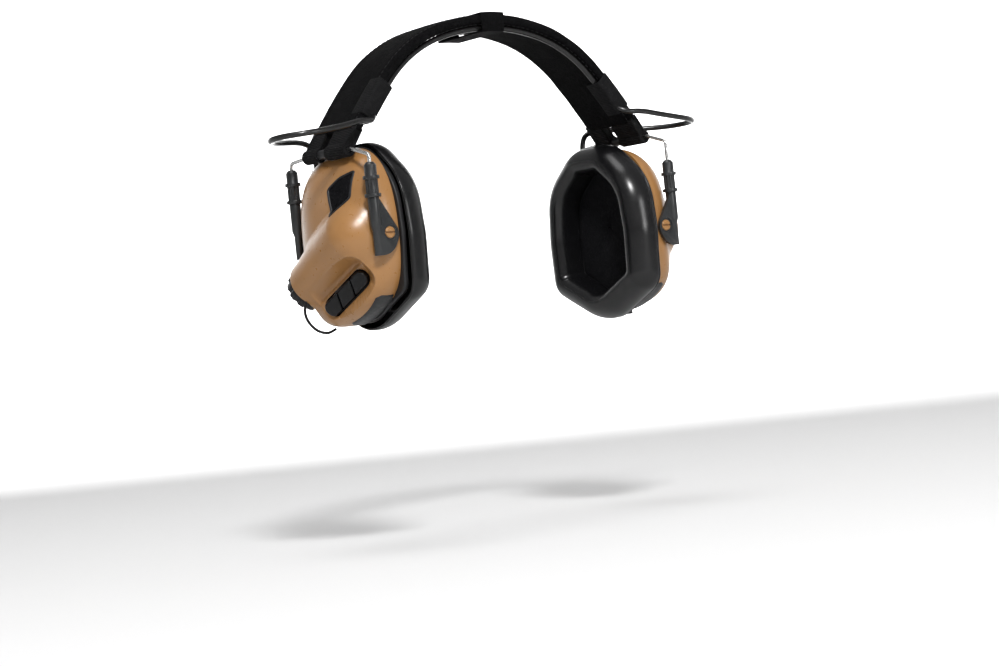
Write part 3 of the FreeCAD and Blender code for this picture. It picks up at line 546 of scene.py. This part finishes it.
def apply_modifiers(piece):
    graph = bpy.context.evaluated_depsgraph_get()
    graph.update()
    mesh = bpy.data.meshes.new_from_object(piece.evaluated_get(graph))
    piece.modifiers.clear()
    piece.data = mesh


def cylinder_points(start, axis, radius, count=48):
    axis = np.array(axis, float)
    first = np.cross(axis, (1.0, 0.0, 0.0)) if abs(axis[0]) < 0.9 else np.cross(axis, (0.0, 1.0, 0.0))
    first /= np.linalg.norm(first)
    second = np.cross(axis, first)
    angles = full_turn(count)
    return np.array([np.array(start) + radius * (first * math.cos(a) + second * math.sin(a)) for a in angles])


def inset_corners(corners, inset):
    """Corners of a convex polygon after each side moves inward by inset."""
    corners = [np.array(c, float) for c in corners]
    middle = sum(corners) / len(corners)
    sides = []
    for a, b in zip(corners, corners[1:] + corners[:1]):
        normal = np.array((b[1] - a[1], a[0] - b[0])) / np.linalg.norm(b - a)
        if (middle - a) @ normal < 0:
            normal = -normal
        sides.append((normal, normal @ a + inset))
    return [np.linalg.solve(np.array([m, n]), np.array([d, e]))
            for (m, d), (n, e) in zip(sides[-1:] + sides[:-1], sides)]


def window_outline(inset, steps=8):
    radii = [max(r - inset, 0.5) for r in WINDOW_CORNERS]
    return rounded_polygon(inset_corners(WINDOW, inset), radii, steps, 6)


def add_windows():
    """The window's rounded frame and the foam behind it, both following the shell's face."""
    frame_rows = [(0.0, -1.4), (0.0, 0.15), (0.2, 0.35), (0.9, 0.35), (1.2, 0.1), (1.25, -1.2)]
    outlines = [(window_outline(inset), height) for inset, height in frame_rows]
    rows = [np.column_stack([skin_x(o) - height, o]) for o, height in outlines]
    frame_points, frame_faces = np.vstack(rows), strip_faces(len(rows), len(rows[0]), close_columns=True)
    edge = window_outline(1.2)
    middle = edge.mean(axis=0)
    rings = [middle + (edge - middle) * share for share in np.linspace(1, 0, 26)[:-1]]
    rng = np.random.default_rng(5)
    foam_rows = []
    for ring in rings:
        pores = 0.16 * rng.standard_normal(len(ring))
        foam_rows.append(np.column_stack([skin_x(ring) + 0.45 + pores, ring]))
    foam_points = np.vstack(foam_rows + [[(foam_rows[-1][:, 0].mean(), *middle)]])
    foam_faces = strip_faces(len(rings), len(edge), close_columns=True)
    last, tip = (len(rings) - 1) * len(edge), len(foam_points) - 1
    foam_faces += [(last + k, last + (k + 1) % len(edge), tip) for k in range(len(edge))]
    for side in ("right", "left"):
        for name, points, faces, slot in (("mic_bezel", frame_points, frame_faces, "black_plastic"),
                                          ("mic_foam", foam_points, foam_faces, "foam")):
            add_mesh(side + "_window_" + name[4:], *on_side(side, points, faces), slot, side + "_cup",
                     [side + "_" + name])


def add_shells():
    window = rounded_polygon(WINDOW, WINDOW_CORNERS, 8)
    window = np.column_stack([np.zeros(len(window)), window])
    slot = rounded_polygon([(-18.6, -5.4), (18.6, -5.4), (18.6, 5.4), (-18.6, 5.4)], [5.3] * 4, 10)
    slot = KEYPAD_CENTRE + slot[:, :1] * KEYPAD_ALONG + slot[:, 1:] * KEYPAD_ACROSS
    for side in ("right", "left"):
        right = side == "right"
        points, faces = shell_mesh(right, *((210, 560) if right else (90, 260)))
        name = side + "_shell"
        tools = [prism(window, (1, 0, 0), -130, -95)]
        if right:
            tools.append(prism(slot, KEYPAD_OUT, -5, 6))
            end = BARREL_FRONT + BARREL_AXIS * BARREL_LENGTH
            tools.append(prism(cylinder_points(end, BARREL_AXIS, CAP_POCKET + 0.5), BARREL_AXIS, 0, 30))
        else:
            points, faces = on_side(side, points, faces)
            tools.append(prism(cylinder_points((*SOCKET, 0), (0, 0, 1), 3.9), (0, 0, 1), -60, -30))
            tools = [(flip_side(p), f) for p, f in tools]
        shell = add_mesh(name + "_moulding", points, faces, "tan_plastic", None)
        rework(shell.data, split_faces)
        for tool in tools:
            cut_away(shell, *tool)
        rework(shell.data, clear_slivers)
        shell.data.shade_smooth()
        shell.data.set_sharp_from_angle(angle=math.radians(50))
        finish_piece(shell, "tan_plastic", side + "_cup", [name])


# ---- headband line ----------------------------------------------------------------------------

CROWN_Z, CROWN_RADIUS, CROWN_ANGLE = 115.7, 122.0, math.radians(17)
SHOULDER_RADIUS, SHOULDER_ANGLE = 84.0, math.radians(48)
HINGE = np.array((-104.2, 0.0, 46.4))
BAND_HALF_WIDTH, BAND_HALF_THICK = 20.5, 2.9
COVER_START = 12.0              # the cover ends this far along the band from the hinge
SEAM_Y = 18.1                   # the cover's two rows of stitches


def on_circle(centre, radius, angle):
    return np.array((centre[0] - radius * math.sin(angle), 0.0, centre[2] + radius * math.cos(angle)))


def band_arcs():
    """Centre (side to side, up) and radius of the three arcs of one half, and the angle at the hinge."""
    crown = np.array((0.0, 0.0, CROWN_Z - CROWN_RADIUS))
    top_end = on_circle(crown, CROWN_RADIUS, CROWN_ANGLE)
    shoulder = on_circle(top_end, -SHOULDER_RADIUS, CROWN_ANGLE)
    low_end = on_circle(shoulder, SHOULDER_RADIUS, SHOULDER_ANGLE)
    inward = np.array((math.sin(SHOULDER_ANGLE), 0.0, -math.cos(SHOULDER_ANGLE)))
    chord = low_end - HINGE
    side_radius = -(chord @ chord) / (2 * (inward @ chord))
    side = low_end + inward * side_radius
    arcs = ((crown, CROWN_RADIUS), (shoulder, SHOULDER_RADIUS), (side, side_radius))
    return np.array([(c[0], c[2], r) for c, r in arcs]), math.atan2(side[0] - HINGE[0], HINGE[2] - side[2])


ARCS, HINGE_ANGLE = band_arcs()


def end_angle(distance):
    """The angle at a distance along the band from the hinge."""
    return HINGE_ANGLE - distance / ARCS[2, 2]


def arch_points(offset, angle, y):
    """Points offset outward from the band's middle line; angles run from straight up to the right."""
    offset, angle, y = np.broadcast_arrays(offset, angle, y)
    turn = np.abs(angle)
    arc = ARCS[(turn > CROWN_ANGLE).astype(int) + (turn > SHOULDER_ANGLE)]
    radius = arc[..., 2] + offset
    x = arc[..., 0] - radius * np.sin(turn)
    return np.stack([np.where(angle < 0, -x, x), y, arc[..., 1] + radius * np.cos(turn)], -1)


def arch_angles(start, pitch):
    """Angles from the right end to the left end, evenly spaced along the band."""
    fine = np.linspace(end_angle(start), -end_angle(start), 4001)
    turn = np.abs(fine)
    radius = ARCS[(turn > CROWN_ANGLE).astype(int) + (turn > SHOULDER_ANGLE), 2]
    length = np.concatenate([[0], np.cumsum(radius[1:] * np.abs(np.diff(fine)))])
    return np.interp(np.linspace(0, length[-1], int(length[-1] / pitch) + 1), length, fine)


def waves(a, b, size, length, seed, count=14):
    """Smooth seeded unevenness over two coordinates."""
    rng = np.random.default_rng(seed)
    total = np.zeros(np.broadcast(a, b).shape)
    for _ in range(count):
        turn, phase = rng.uniform(0, 2 * math.pi, 2)
        step = 2 * math.pi / (length * rng.uniform(0.7, 1.8))
        total = total + np.sin(step * (a * math.cos(turn) + b * math.sin(turn)) + phase)
    return total * size / math.sqrt(count)


# ---- leads ------------------------------------------------------------------------------------

LEAD_RADIUS, LEAD_OFFSET, LEAD_EXIT, LEAD_Y = 1.6, -4.7, 33.0, -16.5
GLAND_TOP = (-95.2, 26.0, 40.2)
LEAD_ROUTE = [(-95.2, 26.2, 47.0), (-98.0, 26.0, 53.4), (-105.5, 23.5, 55.2), (-117.0, 17.5, 54.9),
              (-128.5, 10.0, 54.0), (-139.5, 0.5, 53.6), (-145.8, -9.5, 53.9), (-144.5, -19.5, 54.4),
              (-135.5, -27.0, 55.0), (-122.0, -29.8, 56.3), (-108.5, -28.6, 58.6), (-98.8, -26.5, 60.8)]


def lead_line(drop):
    """Points along a lead from the gland of a cup that hangs lower by drop to the band's front edge."""
    low = (GLAND_TOP[0], GLAND_TOP[1], GLAND_TOP[2] - drop)
    rise = [low, (GLAND_TOP[0], GLAND_TOP[1], GLAND_TOP[2] - 0.5)] if drop else [low]
    under = [arch_points(LEAD_OFFSET + 0.4, end_angle(LEAD_EXIT - 12), -23.5),
             arch_points(LEAD_OFFSET, end_angle(LEAD_EXIT - 5), LEAD_Y),
             arch_points(LEAD_OFFSET, end_angle(LEAD_EXIT), LEAD_Y)]
    route = [Vector(p) * MM for p in rise + LEAD_ROUTE + under]
    data = bpy.data.curves.new("lead_line", "CURVE")
    data.dimensions, data.resolution_u = "3D", 16
    spline = data.splines.new("NURBS")
    spline.points.add(len(route) - 1)
    for point, place in zip(spline.points, route):
        point.co = (*place, 1.0)
    spline.order_u = 3
    spline.use_endpoint_u = True
    curve = new_object("lead_line", data)
    bpy.context.view_layer.update()
    mesh = bpy.data.meshes.new_from_object(curve.evaluated_get(bpy.context.evaluated_depsgraph_get()))
    line = np.array([v.co for v in mesh.vertices]) / MM
    bpy.data.objects.remove(curve)
    return line


def respaced(line, pitch):
    length = np.concatenate([[0], np.cumsum(np.linalg.norm(np.diff(line, axis=0), axis=1))])
    places = np.linspace(0, length[-1], int(length[-1] / pitch) + 1)
    return np.column_stack([np.interp(places, length, line[:, k]) for k in range(3)])


def tube_rows(line, section):
    """Rows of points of a section (two columns, millimetres) carried along a line without twist."""
    tangents = directions(line)
    first = np.cross(tangents[0], (0.3, 0.2, 0.9))
    rows = []
    for place, tangent in zip(line, tangents):
        first = first - tangent * (first @ tangent)
        first /= np.linalg.norm(first)
        second = np.cross(tangent, first)
        rows.append(place + section[:, :1] * first + section[:, 1:] * second)
    return rows


def tube(line, section):
    rows = tube_rows(line, section)
    return np.vstack(rows), capped(len(rows), len(section))


def round_section(radius, sides=20):
    angles = full_turn(sides)
    return radius * np.column_stack([np.cos(angles), np.sin(angles)])


def add_leads():
    """Each lead in four lengths: three short ones cut where it rises past the cup's joints, then the free
    loop.
    """
    for side, drop in (("right", 0.0), ("left", LEFT_DROP)):
        line = respaced(lead_line(drop), 0.5)
        if side == "left":
            line = line * (-1, 1, 1)
        stops = np.array((40.2 - drop, 42.8 - 0.66 * drop, 45.4 - 0.33 * drop, 48.4))
        rising = line[:40, 2]
        cuts = [0] + [int(np.argmax(rising > z)) for z in stops[1:]] + [len(line) - 1]
        section = round_section(LEAD_RADIUS)
        for k in range(3):
            piece_line = line[cuts[k]:cuts[k + 1] + 1]
            points, faces = tube(piece_line, section)
            name = "{}_lead_drop_{}".format(side, k + 1)
            piece = add_mesh(name, points, faces, "cable", None)
            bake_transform(piece)
        free = line[cuts[3]:]
        points, faces = tube(free, section)
        loop = add_mesh(side + "_lead_loop", points, faces, "cable", "headband", [side + "_lead"])


# ---- headband ---------------------------------------------------------------------------------

def add_stitches(name, centres, along, out, body, length=2.2, radius=0.26):
    """Short raised thread stitches lying on a surface, as one mesh."""
    across = np.cross(along, out)
    rings = ((-0.5, 0.3, -0.6), (-0.40, 0.9, 0.2), (0.0, 1.0, 0.5), (0.40, 0.9, 0.2), (0.5, 0.3, -0.6))
    angles = full_turn(6)
    shape = np.array([(share * length, (size * math.cos(t) + rise) * radius, size * math.sin(t) * radius)
                      for share, size, rise in rings for t in angles])
    points = (centres[:, None] + shape[None, :, :1] * along[:, None] + shape[None, :, 1:2] * out[:, None]
              + shape[None, :, 2:] * across[:, None]).reshape(-1, 3)
    one = strip_faces(5, 6, close_columns=True)
    faces = [tuple(i + 30 * k for i in face) for k in range(len(centres)) for face in one]
    return add_mesh(name, points, faces, "thread", body)


def band_stitches(y, offset, start, pitch=3.4):
    """Centres, directions and outward directions of a row of stitches along the band."""
    angles = arch_angles(start, pitch)
    centres = arch_points(offset, angles, y)
    along = arch_points(offset, angles - 1e-4, y) - centres
    along /= np.linalg.norm(along, axis=1)[:, None]
    out = arch_points(offset + 1, angles, y) - centres
    return centres, along, out * math.copysign(1, offset)


def add_band_cover():
    """Velour sleeve, a little fuller in the middle, with a stitched groove near each edge."""
    corners = [(-BAND_HALF_WIDTH, -BAND_HALF_THICK), (BAND_HALF_WIDTH, -BAND_HALF_THICK),
               (BAND_HALF_WIDTH, BAND_HALF_THICK), (-BAND_HALF_WIDTH, BAND_HALF_THICK)]
    section = rounded_polygon(corners, [2.6] * 4, 7, 30)
    angles = arch_angles(COVER_START, 0.9)
    y, offset = section[:, 0], section[:, 1]
    run = np.arange(len(angles))[:, None] * 0.9
    groove = 0.45 * np.exp(-((np.abs(y) - SEAM_Y) / 0.55) ** 2)
    full = 0.35 * np.clip(1 - (y / SEAM_Y) ** 2, 0, 1) - groove
    flat = np.clip(np.abs(offset) / BAND_HALF_THICK, 0, 1) ** 3 * np.sign(offset)
    lift = full[None] + waves(run, y[None], 0.10, 16, 3) + waves(run, y[None], 0.05, 3.5, 4)
    edge = np.clip((np.abs(y) - 17) / 3.5, 0, 1) * np.sign(y)
    ys = y[None] + edge[None] * waves(run, offset[None], 0.10, 9, 6)
    points = arch_points(offset[None] + flat[None] * lift, angles[:, None], ys)
    faces = capped(len(angles), len(section))
    cover = add_mesh("band_cover_sleeve", points.reshape(-1, 3), faces, "velour", "headband",
                     ["band_cover", "band_pad"])
    rows = [band_stitches(side * SEAM_Y, face * (BAND_HALF_THICK - 0.28), COVER_START + 3)
            for side in (-1, 1) for face in (-1, 1)]
    add_stitches("band_cover_stitches", *[np.vstack(group) for group in zip(*rows)], "headband")


def loop_outline():
    """Ribbed outline of an end loop in its own plane, evenly spaced, with its outward directions."""
    neck = np.linspace(14.0, 2.75, 40)
    outer = arch_points(BAND_HALF_THICK, end_angle(neck), 0.0)[:, (0, 2)]
    inner = arch_points(-BAND_HALF_THICK, end_angle(neck[::-1]), 0.0)[:, (0, 2)]
    hinge = HINGE[[0, 2]]
    start = math.atan2(*(outer[-1] - hinge)[::-1])
    end = math.atan2(*(inner[0] - hinge)[::-1])
    if start < end:
        start += 2 * math.pi
    if start - end <= math.pi:
        end += 2 * math.pi
    turns = np.linspace(start, end, 120)
    ring = hinge + 4.0 * np.column_stack([np.cos(turns), np.sin(turns)])
    line = np.vstack([outer, ring[1:-1], inner])
    line3 = respaced(np.column_stack([line, np.zeros(len(line))]), 0.17)
    line = line3[:, :2]
    tangent = directions(line)
    normal = np.column_stack([tangent[:, 1], -tangent[:, 0]])
    if (normal[len(line) // 2] @ (line[len(line) // 2] - hinge)) < 0:
        normal = -normal
    ribs = 0.15 * np.cos(2 * math.pi * np.arange(len(line)) * 0.17 / 1.15)
    return line + normal * (ribs - 0.1)[:, None], normal


def add_end_loops():
    """Ribbed webbing rolled round each hinge sleeve in two straps, bored for the wire."""
    line, normal = loop_outline()
    hinge = HINGE[[0, 2]]
    spokes = line - hinge
    hole = hinge + 1.5 * spokes / np.linalg.norm(spokes, axis=1)[:, None]
    for side in ("right", "left"):
        for name, low, high in (("front", -BAND_HALF_WIDTH, -1.0), ("rear", 7.0, BAND_HALF_WIDTH)):
            rows = [(low + 0.3, hole)]
            for inset, step in ((1.0, 0.05), (0.4, 0.0), (0.1, 0.2), (0.0, 0.55)):
                rows.append((low + step, line - normal * inset))
            rows += [(y, line) for y in np.linspace(low + 1.5, high - 1.5, 6)]
            for inset, step in ((0.0, 0.55), (0.1, 0.2), (0.4, 0.0), (1.0, 0.05)):
                rows.append((high - step, line - normal * inset))
            rows.append((high - 0.3, hole))
            points = np.vstack([np.column_stack([row[:, 0], np.full(len(row), y), row[:, 1]])
                                for y, row in rows])
            faces = strip_faces(len(rows), len(line), close_rows=True, close_columns=True)
            points, faces = on_side(side, points, faces, 0)
            replaced = [side + "_end_loop"] if name == "front" else ()
            add_mesh("{}_end_loop_{}".format(side, name), points, faces, "webbing", "headband", replaced)


def smooth_corners(path, rounds=3):
    """The path with its corners cut again and again, its ends kept."""
    path = np.array(path, float)
    for _ in range(rounds):
        a, b = path[:-1], path[1:]
        cut = np.stack([a * 0.75 + b * 0.25, a * 0.25 + b * 0.75], 1).reshape(-1, path.shape[1])
        path = np.vstack([path[:1], cut[1:-1], path[-1:]])
    return path


def add_tabs():
    """Ribbed tab folded round the band's front edge over the lead, on each side."""
    path = smooth_corners([(-11.5, 3.4), (-19.9, 3.4), (-21.3, 1.8), (-21.4, -4.6), (-20.3, -7.1),
                           (-11.0, -7.1)])
    path = respaced(np.column_stack([path, np.zeros(len(path))]), 0.4)[:, :2]
    tangent = directions(path)
    inward = np.column_stack([tangent[:, 1], -tangent[:, 0]])
    if inward[2, 1] > 0:
        inward = -inward
    run = np.arange(21.5, 45.5, 0.2)
    rows = []
    for distance in run:
        rib = 0.11 * math.cos(2 * math.pi * distance / 1.15)
        end = min(distance - run[0], run[-1] - distance)
        rib -= 0.5 * max(0.0, 1 - end / 0.7) ** 2
        outer, inner = path - inward * rib, path + inward * 0.6
        loop = np.vstack([outer, inner[::-1]])
        rows.append(arch_points(loop[:, 1], end_angle(distance), loop[:, 0]))
    faces = capped(len(rows), len(rows[0]))
    points = np.vstack(rows)
    for side in ("right", "left"):
        add_mesh(side + "_lead_tab", *on_side(side, points, faces, 0), "webbing", "headband")


# ---- ear cushions -----------------------------------------------------------------------------

CUSHION_HALF = [(14.5, 50.8), (40.0, 29.5), (43.2, 0), (42.0, -33), (0, -54.2)]
CUSHION_CORNERS = [22, 35, 60, 13, 30]
SETTLE_FRAMES = 12
CUSHION_PROFILE = [(1.2, -87.0), (0.45, -86.2), (0.05, -84.8), (0.0, -83.0), (0.25, -81.0), (0.8, -79.0),
                   (1.6, -77.0), (2.7, -75.1), (4.1, -73.4), (5.9, -71.9), (7.9, -70.8), (10.0, -70.4),
                   (12.0, -70.9), (13.6, -72.3), (14.8, -74.4), (15.6, -77.2), (16.0, -80.5), (16.2, -84.0),
                   (16.4, -87.0)]


def cushion_outline(inset, arc_steps=9, side_steps=8):
    whole = CUSHION_HALF + [(-y, z) for y, z in reversed(CUSHION_HALF) if y > 0]
    pairs = reversed(list(zip(CUSHION_HALF, CUSHION_CORNERS)))
    radii = CUSHION_CORNERS + [radius for (y, _), radius in pairs if y > 0]
    radii = [max(radius - inset, 4.0) for radius in radii]
    return rounded_polygon(inset_corners(whole, inset), radii, arc_steps, side_steps)


def settle_cover(piece, held):
    """Blows the leatherette up a little round its foam, with its two edges held at the plate."""
    group = piece.vertex_groups.new(name="held")
    for index, weight in enumerate(held):
        if weight > 0:
            group.add([index], float(weight), "REPLACE")
    cloth = piece.modifiers.new("cover", "CLOTH")
    settings = cloth.settings
    settings.quality, settings.mass = 6, 0.15
    settings.tension_stiffness = settings.compression_stiffness = 60
    settings.shear_stiffness, settings.bending_stiffness = 30, 2.0
    settings.use_pressure, settings.uniform_pressure_force = True, 0.35
    settings.vertex_group_mass, settings.pin_stiffness = "held", 1.0
    settings.effector_weights.gravity = 0
    cloth.collision_settings.use_collision = False
    scene = bpy.context.scene
    cloth.point_cache.frame_start, cloth.point_cache.frame_end = 1, SETTLE_FRAMES
    for step in range(1, SETTLE_FRAMES + 1):
        scene.frame_set(step)
    apply_modifiers(piece)
    scene.frame_set(1)


def add_cushions():
    rows = []
    for inset, x in CUSHION_PROFILE:
        outline = cushion_outline(inset)
        rows.append(np.column_stack([np.full(len(outline), x), outline]))
    count = len(rows[0])
    run = np.arange(count)[None] * 1.9
    across = np.arange(len(rows))[:, None] * 2.0
    shape = np.sin(np.linspace(0, math.pi, len(rows)))[:, None]
    middle = rows[0].mean(axis=0)
    grid = np.stack(rows)
    swell = 1 + shape * waves(run * 2 * math.pi / (1.9 * count) * 46, across, 0.0035, 40, 8)
    grid[..., 1:] = middle[1:] + (grid[..., 1:] - middle[1:]) * swell[..., None]
    faces = [tuple(reversed(f)) for f in strip_faces(len(rows), count, close_columns=True)]
    held = np.zeros((len(rows), count))
    held[[0, -1]] = 1
    held[[1, -2]] = 0.6
    for side in ("right", "left"):
        points, sided = on_side(side, grid.reshape(-1, 3), faces)
        cushion = add_mesh(side + "_cushion_cover", points, sided, "leatherette", None)
        settle_cover(cushion, held.ravel())
        subdivide = cushion.modifiers.new("subdivide", "SUBSURF")
        subdivide.levels = subdivide.render_levels = 2
        apply_modifiers(cushion)
        cushion.data.shade_smooth()
        finish_piece(cushion, "leatherette", side + "_cup", [side + "_cushion"])
        add_seam(side)
        add_liner(side)


def add_seam(side):
    """Welded bead round the cushion's outer edge, where the cover meets its backing."""
    outline = cushion_outline(0.1)
    middle = outline.mean(axis=0)
    turns = full_turn(10)
    rows = []
    for t in turns:
        shrink = 0.5 * math.cos(t)
        inward = (middle - outline) / np.linalg.norm(outline - middle, axis=1)[:, None]
        ring = outline + inward * (0.6 - shrink)
        rows.append(np.column_stack([np.full(len(ring), -86.35 + 0.5 * math.sin(t)), ring]))
    faces = strip_faces(len(rows), len(outline), close_rows=True, close_columns=True)
    points, faces = on_side(side, np.vstack(rows), faces)
    add_mesh(side + "_cushion_seam", points, faces, "leatherette", side + "_cup")


def add_liner(side):
    """Open-cell foam sheet inside the cup, with an uneven face."""
    edge = cushion_outline(14.6)
    middle = edge.mean(axis=0)
    shares = np.linspace(1, 0.02, 30)
    rng = np.random.default_rng(11)
    rows = [np.column_stack([np.full(len(edge), -89.9), edge])]
    for share in shares:
        ring = middle + (edge - middle) * share
        height = -87.5 - 0.7 * np.clip((share - 0.94) / 0.06, 0, 1) + 0.10 * rng.standard_normal(len(ring))
        rows.append(np.column_stack([height + waves(ring[:, 0], ring[:, 1], 0.15, 14, 2), ring]))
    faces = [tuple(reversed(f)) for f in strip_faces(len(rows), len(edge), close_columns=True)]
    last = (len(rows) - 1) * len(edge)
    faces.append(tuple(range(last, last + len(edge))))
    points, faces = on_side(side, np.vstack(rows), faces)
    liner = add_mesh(side + "_liner_sheet", points, faces, "foam", side + "_cup", [side + "_liner_foam"])


# ---- moulded and machined pieces --------------------------------------------------------------

def softened(name, width, body, slot, segments=3, angle=32):
    """A copy of a CAD node with its sharp edges rounded over by a width in millimetres."""
    node = NODES[name]
    mesh = node.data.copy()
    mesh.transform(node.matrix_world)
    rework(mesh, lambda work: bmesh.ops.remove_doubles(work, verts=work.verts, dist=1e-6),
           lambda work: bmesh.ops.dissolve_limit(work, angle_limit=math.radians(0.6), verts=work.verts,
                                                 edges=work.edges))
    piece = new_object(name + "_softened", mesh)
    bevel = piece.modifiers.new("edges", "BEVEL")
    bevel.width, bevel.segments, bevel.limit_method = width * MM, segments, "ANGLE"
    bevel.angle_limit, bevel.use_clamp_overlap = math.radians(angle), True
    apply_modifiers(piece)
    piece.data.shade_smooth()
    piece.data.set_sharp_from_angle(angle=math.radians(28))
    return finish_piece(piece, slot, body, [name])


def add_softened():
    for side in ("right", "left"):
        cup, arms = side + "_cup", side + "_arms"
        softened(side + "_back_plate", 0.8, cup, "black_plastic")
        softened(side + "_cable_gland", 0.5, cup, "rubber")
        for name in ("front_arm", "rear_arm"):
            softened(side + "_" + name, 0.45, arms, "arm_plastic")
        softened(side + "_collets", 0.3, arms, "arm_plastic", 2)
    softened("left_audio_socket", 0.5, "left_cup", "black_plastic")
    softened("right_battery_cap", 0.5, "battery_cap", "rubber")
    softened("band_wrap", 0.45, "headband", "velour")


def add_keys():
    """The three keys: rounded, with slanted gaps between them, standing out of the keypad floor."""
    slant, ends, half = 0.6, 4.2, 4.5
    keys = {"volume_up_button": (6.5, 18.1), "power_button": (-5.9, 5.9), "volume_down_button": (-18.1, -6.5)}
    for name, (low, high) in keys.items():
        lean_low = 0.0 if low < -15 else slant * half
        lean_high = 0.0 if high > 15 else slant * half
        corners = [(low + lean_low, -half), (high + lean_high, -half), (high - lean_high, half),
                   (low - lean_low, half)]
        radii = [ends if low < -15 else 0.9, ends if high > 15 else 0.9,
                 ends if high > 15 else 0.9, ends if low < -15 else 0.9]
        rows = []
        for inset, out in ((0.0, -3.0), (0.0, 1.9), (0.18, 2.5), (0.6, 2.95), (1.2, 3.15), (2.2, 3.2)):
            rounding = [max(r - inset, 0.35) for r in radii]
            outline = rounded_polygon(inset_corners(corners, inset), rounding, 9, 5)
            rows.append(KEYPAD_CENTRE + outline[:, :1] * KEYPAD_ALONG + outline[:, 1:] * KEYPAD_ACROSS
                        + KEYPAD_OUT * out)
        faces = capped(len(rows), len(rows[0]))
        key = add_mesh(name + "_cap", np.vstack(rows), faces, "rubber", None)
        rework(key.data, turn_faces_out)
        finish_piece(key, "rubber", name, [name])


STUD_PROFILE = [(3.15, 35.7), (3.15, 39.2), (3.05, 39.55), (2.8, 39.8), (2.3, 39.92), (1.2, 39.98)]
COIN_SLOT = np.array([(-101, 0, -0.55), (-92, 0, -0.55), (-92, 0, 0.55), (-101, 0, 0.55)])


def add_studs():
    """Round-headed pins with a coin slot, in the shell's colour."""
    for side in ("right", "left"):
        for end in (-1, 1):
            rows = []
            for radius, y in STUD_PROFILE:
                rows.append(cylinder_points((-96.8, end * y, 0), (0, 1, 0), radius, 48))
            faces = capped(len(rows), len(rows[0]))
            points = np.vstack(rows)
            slot_points, slot_faces = prism(COIN_SLOT, (0, end, 0), 38.9, 41)
            if side == "left":
                points, slot_points = flip_side(points), flip_side(slot_points)
            name = "{}_{}_stud_head".format(side, "front" if end < 0 else "rear")
            stud = add_mesh(name, points, faces, "tan_plastic", None)
            rework(stud.data, turn_faces_out)
            cut_away(stud, slot_points, slot_faces)
            stud.data.shade_smooth()
            stud.data.set_sharp_from_angle(angle=math.radians(35))
            finish_piece(stud, "tan_plastic", side + "_cup", [side + "_pivot_studs"] if end < 0 else ())


TETHER_ROUTE = [(-115.6, 18.7, -30.9), (-116.6, 20.3, -36.9), (-114.2, 20.9, -42.6), (-110.6, 18.6, -47.6),
                (-106.2, 14.8, -49.6), (-103.4, 11.0, -47.4)]


def add_tether():
    """Flat moulded strap from a ring round the cap's neck down to the shell."""
    line = respaced(smooth_corners(TETHER_ROUTE, 4), 0.5)
    _, _, axes = np.linalg.svd(line - line.mean(axis=0))
    tangents = directions(line)
    share = np.linspace(0, 1, len(line))
    width = 1.15 - 0.25 * np.sin(share * math.pi)
    angles = full_turn(20)
    rows = []
    for place, tangent, half in zip(line, tangents, width):
        flat = axes[2] - tangent * (axes[2] @ tangent)
        flat /= np.linalg.norm(flat)
        thin = np.cross(tangent, flat)
        c, s = np.cos(angles), np.sin(angles)
        c, s = np.sign(c) * np.abs(c) ** 0.55, np.sign(s) * np.abs(s) ** 0.55
        rows.append(place + half * c[:, None] * flat + 0.75 * s[:, None] * thin)
    faces = capped(len(rows), len(angles))
    strap = add_mesh("cap_tether_strap", np.vstack(rows), faces, "rubber", None)
    rework(strap.data, turn_faces_out)
    finish_piece(strap, "rubber", "right_cup", ["right_cap_tether"])
    end = BARREL_FRONT + BARREL_AXIS * (BARREL_LENGTH + 0.1)
    rings = []
    for radius, along in ((10.75, 0.0), (13.0, 0.0), (13.2, 0.2), (13.2, 0.7), (13.0, 0.9), (10.75, 0.9)):
        rings.append(cylinder_points(end + BARREL_AXIS * along, BARREL_AXIS, radius, 72))
    ring = add_mesh("cap_tether_ring", np.vstack(rings),
                    strip_faces(len(rings), 72, close_rows=True, close_columns=True), "rubber", None)
    rework(ring.data, turn_faces_out)
    finish_piece(ring, "rubber", "right_cup")


def add_labels():
    """Blank plate that follows the lower front wall of the shell, beside the rim."""
    turns = np.radians(np.linspace(-131.5, -88, 70))
    tilts = np.linspace(math.radians(60), math.radians(89.9), 140)
    depths = np.array((11.6, 11.3, 10.2, 8.2, 6.0, 3.8, 1.6, 1.0, 0.9))
    heights = np.array((-0.3, 0.35, 0.6, 0.6, 0.6, 0.6, 0.6, 0.35, -0.3))
    grid = np.zeros((len(depths), len(turns), 3))
    for k, turn in enumerate(turns):
        rays = np.column_stack([-np.cos(tilts), np.sin(tilts) * math.cos(turn),
                                np.sin(tilts) * math.sin(turn)])
        skin = RIM_CENTRE + rays * skin_reach(rays, False)[:, None]
        depth = RIM_X - skin[:, 0]
        lean = 3.2 * max(0.0, 1 - k / 5) + 3.2 * max(0.0, 1 - (len(turns) - 1 - k) / 7)
        wanted = np.maximum(depths - lean * (depths - 0.9) / 11, 0.9)
        for axis in range(3):
            grid[:, k, axis] = np.interp(wanted, depth[::-1], skin[::-1, axis])
        sink = -0.9 if k in (0, len(turns) - 1) else 0.0
        grid[:, k] += np.array((0.0, math.cos(turn), math.sin(turn))) * (heights + sink)[:, None]
    faces = strip_faces(len(depths), len(turns))
    for side in ("right", "left"):
        points = grid.reshape(-1, 3)
        if side == "left":
            points = flip_side(points)
        plate = add_mesh(side + "_blank_label", points, faces, "label", None)
        rework(plate.data, turn_faces_out)
        finish_piece(plate, "label", side + "_cup", [side + "_label_plate"])


MATERIALS = make_materials()
add_camera()
add_studio()
paint_nodes()
add_leads()
add_band_cover()
add_end_loops()
add_tabs()
add_cushions()
add_shells()
add_windows()
add_softened()
add_keys()
add_studs()
add_tether()
add_labels()
